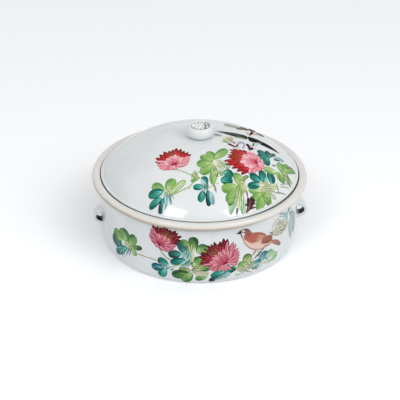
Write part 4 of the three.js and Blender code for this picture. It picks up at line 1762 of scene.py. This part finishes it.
@dataclass(frozen=True)
class LidDome(Sheet):
    """The domed lid: even thickness, a rounded bead round its edge and a seat for the knob."""

    edge_radius: float = 101.2
    underside: float = 69.5
    edge_thickness: float = 4.2
    bead_width: float = 2.8
    bead_round: float = 1.2
    rise: float = 38.5
    shoulder: float = 7.6
    dip: float = 0.1
    thickness: float = 4.6
    seat_radius: float = 9.6
    margin: float = 0.3
    turns: int = 288
    wobble: Wobble = Wobble(0.08, 0.05, 2.1)

    @property
    def bead_top(self) -> float:
        """The height of the bead's top."""
        return self.underside + self.edge_thickness + self.bead_round / 4

    @property
    def dome_edge(self) -> float:
        """The radius at which the dome meets the bead."""
        return self.edge_radius - self.bead_width

    @property
    def half_width(self) -> float:
        """The half-width of the flattened ellipse that the dome is the top of."""
        return self.dome_edge + self.shoulder

    @property
    def half_height(self) -> float:
        """The ellipse's half-height, which makes the dome rise as far as it should."""
        return self.rise / (1 - (1 - (self.dome_edge / self.half_width) ** 2) ** 0.5)

    @property
    def centre(self) -> float:
        """The height of the ellipse's centre."""
        return self.bead_top - self.dip + self.rise - self.half_height

    @property
    def seat(self) -> float:
        """The height of the flat seat under the knob."""
        return self.centre + self.half_height * (1 - (self.seat_radius / self.half_width) ** 2) ** 0.5

    def point(self, place: np.ndarray) -> tuple[np.ndarray, np.ndarray]:
        """Points of the dome straight above places in plan, which are held inside its edge.

        The height over the centre is b (1 - (r/a)^2)^0.5 and the normal goes as
        (x/a^2, y/a^2, z/b^2), where a and b are the ellipse's half-width and half-height.

        Args:
            place: pairs of x and y in millimetres.

        Returns:
            The points and the unit normals.
        """
        radius = np.maximum(np.linalg.norm(place, axis=-1), 1e-6)
        place = place * np.minimum(1, (self.dome_edge - self.margin) / radius)[..., None]
        plan = np.maximum(np.linalg.norm(place, axis=-1), 1e-6)
        height = self.half_height * np.sqrt(1 - (plan / self.half_width) ** 2)
        spread = self.wobble.at(plan, np.arctan2(place[..., 1], place[..., 0])) / plan
        point = np.concatenate([place * spread[..., None], (self.centre + height)[..., None]], -1)
        flat = place / self.half_width**2
        normal = np.concatenate([flat, (height / self.half_height**2)[..., None]], -1)
        return point, normal / np.linalg.norm(normal, axis=-1, keepdims=True)

    def profile(self) -> np.ndarray:
        """The section from the hollow's crown, out under the edge and back over the dome.

        Returns:
            Radius and height pairs.
        """
        centre = (0, self.centre)
        outer = (self.half_width, self.half_height)
        inner = (self.half_width - self.thickness, self.half_height - self.thickness)
        low = (self.underside - self.centre) / inner[1]
        inner_edge = inner[0] * (1 - low**2) ** 0.5
        outside, crown = (np.degrees(np.arccos(r / outer[0])) for r in (self.dome_edge, self.seat_radius))
        bead = self.edge_radius - self.bead_round
        corner = (self.edge_radius, self.underside)
        bead_centre = (bead, self.bead_top - self.bead_round)
        parts = [
            arc(centre, inner, 90, np.degrees(np.arcsin(low)), 60),
            rounded((inner_edge, self.underside), corner, (self.edge_radius, self.bead_top), 0.6),
            arc(bead_centre, (self.bead_round,) * 2, 0, 90, 8),
            arc(centre, outer, outside, crown, 72),
            [[0, self.seat]],
        ]
        return np.concatenate(parts)

    def bare_flange(self, p: Place) -> Wire:
        """The lower part of the lid's edge, bare of glaze."""
        low = (p.z + p.ragged(6) * 0.15).step(self.underside + 1.9, self.underside + 1.5)
        return low * p.r.step(self.edge_radius - 5, self.edge_radius - 4)

    def bead_shade(self, p: Place) -> Wire:
        """Painted shade on the bead's outer face, in the gap round the lid, which reaches higher at both
        sides.
        """
        height = p.z - p.x.step(10.0, 90.0) * 1.3 - p.x.step(-60.0, -100.0) * 0.4
        low = height.step(self.underside + 3.2, self.underside + 2.6)
        return p.r.step(self.edge_radius - 0.6, self.edge_radius - 0.2) * low * 0.85

    def build(self, glaze: Glaze) -> bpy.types.Object:
        """Makes the glazed lid in place of its plain node.

        Args:
            glaze: what it is covered with.

        Returns:
            The new piece.
        """
        zones = [Zone(Stain.LID_FLANGE, self.bare_flange), Zone(Stain.LID_BEAD_SHADE, self.bead_shade)]
        material = glaze.material("lid_glaze", zones)
        skin = turned(self.profile(), self.turns, self.wobble)
        piece = add_piece("glazed_lid", *skin, material, "lid", "porcelain")
        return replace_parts(piece, "lid_dome")


@dataclass(frozen=True)
class Knob:
    """The bun-shaped knob on its short neck, with a round recess and the moulded floret in it."""

    seat: float
    radius: float = 14.3
    neck_radius: float = 9.0
    neck_height: float = 1.5
    rim_width: float = 3.7
    recess_radius: float = 9.5
    recess_depth: float = 3.0
    sunk: float = 0.5
    root: float = 1.6
    floret_radius: float = 9.3
    floret_height: float = 3.2
    petals: int = 12
    petal_ring: Point = (0.82, 0.18)
    beads: int = 7
    bead_ring: Point = (0.46, 0.15)
    bead_turn: float = 0.2
    eye: float = 0.24
    scallop: float = 0.05
    floret_sunk: float = 0.1
    floret_rows: int = 44
    floret_columns: int = 240
    turns: int = 144

    @property
    def top(self) -> float:
        """The height of the knob's crest, from the frame."""
        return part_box("lid_knob")[1].z / MM

    @property
    def recess(self) -> float:
        """The height of the recess's floor."""
        return self.top - self.recess_depth

    def profile(self) -> np.ndarray:
        """The section from under the neck, round the bun and down into the recess.

        Returns:
            Radius and height pairs.
        """
        low = self.seat + self.neck_height
        crest = self.radius - self.rim_width
        lip = crest - self.recess_radius
        half = (self.top - low) / 2
        neck = (self.neck_radius, self.seat)
        parts = [
            [[0, self.seat - self.sunk], [self.neck_radius + self.root, self.seat - self.sunk]],
            rounded((self.neck_radius + 3, self.seat - 0.4), neck, (self.neck_radius, low + 2), self.root),
            rounded(neck, (self.neck_radius, low), (crest, low), 0.5),
            arc((crest, low + half), (self.rim_width, half), -90, 90, 36),
            arc((crest, self.top - lip), (lip, lip), 90, 180, 8)[1:],
            rounded((self.recess_radius, self.top), (self.recess_radius, self.recess), (0, self.recess), 0.7),
            [[0, self.recess]],
        ]
        return np.concatenate(parts)

    def bosses(self, share: np.ndarray, angle: np.ndarray, ring: Point, count: int) -> np.ndarray:
        """A ring of rounded bosses: half an ellipse across it, times a hump for each boss round it.

        Args:
            share: distances from the middle, as shares of the radius.
            angle: angles round it.
            ring: the ring's place and half-width, as shares of the radius.
            count: how many bosses it has.

        Returns:
            Heights from 0 to 1.
        """
        across = np.sqrt(np.clip(1 - ((share - ring[0]) / ring[1]) ** 2, 0, 1))
        return across * np.clip(0.35 + 0.65 * np.cos(count * angle), 0, 1) ** 0.7

    def floret(self) -> Skin:
        """The moulded floret: a scalloped disc that swells into two rings of bosses round an eye.

        Of the floret's height, the disc has 0.3, and the petals add up to 0.6, the beads 0.5 and
        the eye, which is half an ellipse, 0.6. At share s of the radius and angle a the radius is
        shortened by the scallop times s^4 times 1 - cos(na), for n petals.

        Returns:
            The vertices and the faces.
        """
        rows, columns = self.floret_rows, self.floret_columns
        base = self.recess - self.floret_sunk
        angle = 2 * pi * np.arange(columns) / columns
        share = np.linspace(1 / rows, 1, rows)[::-1, None]
        outer = self.bosses(share, angle, self.petal_ring, self.petals)
        middle = self.bosses(share, angle + self.bead_turn, self.bead_ring, self.beads)
        eye = np.sqrt(np.clip(1 - (share / self.eye) ** 2, 0, 1)) + 0 * angle
        height = self.floret_height * (0.3 + 0.6 * outer + 0.5 * middle + 0.6 * eye)
        scalloped = 1 - self.scallop * share**4 * (1 - np.cos(self.petals * angle))
        radius = self.floret_radius * share * scalloped
        top = np.stack([radius * np.cos(angle), radius * np.sin(angle), base + height], -1)
        skirt = top[:1] * [1, 1, 0] + [0, 0, base]
        grid = np.concatenate([skirt, top])
        poles = [[0, 0, base], [0, 0, base + self.floret_height * 0.9]]
        return np.concatenate([grid.reshape(-1, 3), poles]), skin_faces(len(grid), columns)

    def recess_right_shade(self, p: Place) -> Wire:
        """Painted shade low on the recess's wall at the right."""
        low = (p.z + p.ragged(2) * 0.15).step(self.recess + 2.7, self.recess + 2.0)
        stretch = p.x.step(3.0, 6.5) * p.y.band(-7.0, 7.0, 2.0)
        return p.r.step(self.recess_radius + 0.2, self.recess_radius - 0.1) * low * stretch

    def recess_front_shade(self, p: Place) -> Wire:
        """Painted shade on the front of the recess's wall."""
        ring = p.r.step(self.recess_radius + 1.5, self.recess_radius + 1.0)
        front = (p.y + p.x * 0.3).step(-4.5, -7.5) * 0.9
        return ring * p.z.step(self.recess, self.recess + 1.0) * front

    def neck_shade(self, p: Place) -> Wire:
        """A line of painted shade where the neck meets the lid."""
        return p.z.step(self.seat + 1.6, self.seat + 0.9) * 0.6

    def floret_hollow_shade(self, p: Place) -> Wire:
        """Painted shade in the floret's hollows at the right, and round its edge at the front."""
        low = (p.z + p.ragged(1.5) * 0.2).step(self.recess + 2.3, self.recess + 1.1)
        right = low * p.x.step(2.0, 5.0) * p.y.band(-6.0, 6.0, 2.0)
        front = (p.r + p.ragged(2) * 0.3).step(7.5, 8.3) * (p.y + p.x * 0.25).step(-2.6, -4.6)
        return right.most(front) * 0.9

    def build(self, glaze: Glaze, warm: Glaze) -> None:
        """Makes the knob and the floret in place of their plain nodes.

        Args:
            glaze: what the knob is covered with.
            warm: what the floret is covered with.
        """
        zones = [
            Zone(Stain.RECESS_RIGHT_SHADE, self.recess_right_shade),
            Zone(Stain.RECESS_FRONT_SHADE, self.recess_front_shade),
            Zone(Stain.KNOB_NECK_SHADE, self.neck_shade),
        ]
        material = glaze.material("knob_glaze", zones)
        skin = turned(self.profile(), self.turns)
        piece = add_piece("glazed_knob", *skin, material, "lid", "porcelain")
        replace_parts(piece, "lid_knob")
        material = warm.material("floret_glaze", [Zone(Stain.FLORET_HOLLOW_SHADE, self.floret_hollow_shade)])
        piece = add_piece("moulded_floret", *self.floret(), material, "lid", "warm_porcelain")
        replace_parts(piece, "knob_floret")


@dataclass(frozen=True)
class Lamp:
    """A large soft square lamp that faces the object."""

    name: str
    direction: tuple[float, float, float]
    distance: float
    side: float
    radiance: float

    def build(self, aim: Vector) -> None:
        """Adds the lamp. Its power is pi times its area times its radiance.

        Args:
            aim: the place that it faces, in metres.
        """
        data = bpy.data.lights.new(self.name, "AREA")
        data.shape = "SQUARE"
        data.size = self.side
        data.energy = pi * self.side**2 * self.radiance
        lamp = bpy.data.objects.new(self.name, data)
        way = Vector(self.direction).normalized()
        lamp.location = aim + way * self.distance
        lamp.rotation_mode = "QUATERNION"
        lamp.rotation_quaternion = way.to_track_quat("Z", "Y")
        bpy.context.scene.collection.objects.link(lamp)


@dataclass(frozen=True)
class Studio:
    """A plain pale floor, white surroundings, two soft lamps and the camera."""

    floor_side: float = 7.0
    floor_tint: str = "eff0f3"
    floor_roughness: float = 0.9
    floor_glow: float = 0.28
    glow_tint: str = "f8fbff"
    # a painted shadow on the floor: the glow is lowered round this centre, within this reach, by this depth
    shade_centre: Point = (-9.0, 43.0)
    shade_reach: Point = (95.0, 160.0)
    shade_depth: float = 0.55
    world_tint: str = "fffefc"
    world_even: float = 0.17
    world_right: float = 0.20
    world_front: float = 0.18
    world_top: float = 0.33
    lamp_aim: tuple[float, float, float] = (0.0, -0.08, 0.09)
    lamps: tuple[Lamp, ...] = (
        Lamp("right_lamp", (0.558, -0.553, 0.619), 1.3, 0.55, 4.7),
        Lamp("left_lamp", (-0.462, -0.560, 0.688), 1.3, 0.47, 5.6),
    )
    elevation: float = 30.30
    turn: float = -6.0
    roll: float = 0.77
    distance: float = 1148.0
    lens: float = 99.07
    sensor: float = 36.0
    clip: Point = (0.05, 50.0)
    aim: tuple[float, float, float] = (0.76, 0.0, 37.4)

    def floor(self) -> None:
        """Adds the floor, with a faint glow for cameras and glossy rays that is lowered near the object as a
        painted shadow.
        """
        half = self.floor_side / 2
        mesh = bpy.data.meshes.new("studio_floor")
        corners = [(-half, -half, 0), (half, -half, 0), (half, half, 0), (-half, half, 0)]
        mesh.from_pydata(corners, [], [(0, 1, 2, 3)])
        floor = bpy.data.objects.new("studio_floor", mesh)
        bpy.context.scene.collection.objects.link(floor)
        material, shop, place = new_material("studio_floor")
        # painted shadow: the camera glow fades in a soft ring round shade_centre
        off = place.x - self.shade_centre[0], place.y - self.shade_centre[1]
        near = (off[0] * off[0] + off[1] * off[1]).root().step(*self.shade_reach)
        glow = self.seen(shop) * (near * self.shade_depth + (1 - self.shade_depth))
        shop.surface({
            "Base Color": linear(self.floor_tint),
            "Roughness": self.floor_roughness,
            "Specular IOR Level": 0.0,
            "Emission Color": shop.mix(glow, BLACK, linear(self.glow_tint)),
            "Emission Strength": self.floor_glow,
        })
        mesh.materials.append(material)

    def seen(self, shop: NodeShop) -> Wire:
        """1 for the rays that show a background, which are camera, glossy and transmission rays.

        Args:
            shop: the node tree that asks.

        Returns:
            1 for those rays and 0 for the others.
        """
        names = ("Is Camera Ray", "Is Glossy Ray", "Is Transmission Ray")
        camera, glossy, through = (shop.add("ShaderNodeLightPath", output=name) for name in names)
        return camera.most(glossy).most(through)

    def world(self) -> None:
        """Sets a white background, and a soft light whose level changes with the direction."""
        world = bpy.data.worlds.new("studio_world")
        bpy.context.scene.world = world
        world.use_nodes = True
        shop = NodeShop(world.node_tree)
        way = shop.add("ShaderNodeTexCoord", output="Generated")
        right, back, up = (shop.add("ShaderNodeSeparateXYZ", None, {0: way}, i) for i in range(3))
        level = right.step(-1.0, 1.0) * self.world_right + self.world_even
        level = back.step(1.0, -1.0) * self.world_front + up.step(0.0, 1.0) * self.world_top + level
        light = shop.add("ShaderNodeBackground", None, {"Color": linear(self.world_tint), "Strength": level})
        white = shop.add("ShaderNodeBackground", None, {"Color": WHITE, "Strength": 1.0})
        both = shop.add("ShaderNodeMixShader", None, {0: self.seen(shop), 1: light, 2: white})
        shop.add("ShaderNodeOutputWorld", None, {"Surface": both})

    def camera(self) -> None:
        """Adds the camera at the photograph's angle.

        Its back axis has the elevation above the horizon. Right and up are turned about it by the
        roll, and then everything is turned about the upright axis.
        """
        rise, roll = radians(self.elevation), radians(self.roll)
        back = Vector((0, -cos(rise), sin(rise)))
        right, up = Vector((1, 0, 0)), Vector((0, sin(rise), cos(rise)))
        across = right * cos(roll) + up * sin(roll)
        upward = up * cos(roll) - right * sin(roll)
        place = (Vector(self.aim) + back * self.distance) * MM
        columns = [across.to_4d(), upward.to_4d(), back.to_4d(), place.to_4d()]
        for column, last in zip(columns, (0, 0, 0, 1)):
            column[3] = last
        data = bpy.data.cameras.new("camera")
        data.lens = self.lens
        data.sensor_width = self.sensor
        data.clip_start, data.clip_end = self.clip
        camera = bpy.data.objects.new("camera", data)
        camera.matrix_world = Matrix.Rotation(radians(self.turn), 4, "Z") @ Matrix(columns).transposed()
        bpy.context.scene.collection.objects.link(camera)
        bpy.context.scene.camera = camera

    def build(self) -> None:
        """Sets the whole studio up."""
        bpy.context.scene.view_settings.view_transform = "Standard"
        self.floor()
        self.world()
        for lamp in self.lamps:
            lamp.build(Vector(self.lamp_aim))
        self.camera()


LUGS = (
    Lug(
        "glazed_lug_right", "lug_right", angle=-4.2, start=100.9, middle=28.4,
        outer=(12.1, 10.3), inner=(8.3, 5.1), stained_from=104.2,
    ),
    Lug("glazed_lug_left", "lug_left", angle=183.0),
)
LID_INKS = {
    "lid_tail_feathers": LID_TAIL,
    "lid_far_twig": LID_FAR_TWIG,
    "lid_stump": LID_STUMP,
    "lid_buds": LID_BUDS,
}
LID_PAINTINGS = {
    "lid_left_spray": LID_LEFT_SPRAY,
    "lid_middle_leaves": LID_MIDDLE_LEAVES,
    "lid_lower_leaves": LID_LOWER_LEAVES,
    "lid_right_leaves": LID_RIGHT_LEAVES,
    "lid_blossom_left": LID_BLOSSOM_LEFT,
    "lid_blossom_right": LID_BLOSSOM_RIGHT,
}
WALL_PAINTINGS = {
    "wall_left_spray": WALL_LEFT_SPRAY,
    "wall_middle_leaves": WALL_MIDDLE_LEAVES,
    "wall_right_leaves": WALL_RIGHT_LEAVES,
    "wall_twig": WALL_TWIG,
    "wall_fan_leaf": WALL_FAN_LEAF,
    "wall_blossom_left": WALL_BLOSSOM_LEFT,
    "wall_blossom_right": WALL_BLOSSOM_RIGHT,
    "wall_bird": WALL_BIRD,
}


def paint(works: dict[str, tuple], sheet: Sheet, material: bpy.types.Material, body: str) -> None:
    """Lays each group of motifs on a sheet as one piece.

    Args:
        works: the motifs of each piece, by the piece's name.
        sheet: the surface.
        material: the enamel.
        body: the body that the pieces move with.
    """
    for name, motifs in works.items():
        painting = Painting(name)
        for turn, motif in enumerate(motifs):
            motif.lay(painting, turn)
        painting.build(sheet, material, body)


def main() -> None:
    """Builds the box, the lid, the painting and the studio, in that order."""
    logging.basicConfig(level=logging.INFO, format="%(message)s")
    glaze = Glaze()
    warm = Glaze(tint="f1f3f2", deep="e4e5e0", roughness=0.25)
    enamel = Enamel().material("enamel")
    ink = Enamel(roughness=0.5, shine=0.03).material("ink")
    box, lid = BoxBody(), LidDome()
    box.build(glaze)
    for lug in LUGS:
        lug.build(glaze)
    lid.build(glaze)
    Knob(lid.seat).build(glaze, warm)
    paint(LID_INKS, lid, ink, "lid")
    paint(LID_PAINTINGS, lid, enamel, "lid")
    paint(WALL_PAINTINGS, box, enamel, "box")
    Studio().build()
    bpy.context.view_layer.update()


if __name__ == "__main__":
    main()
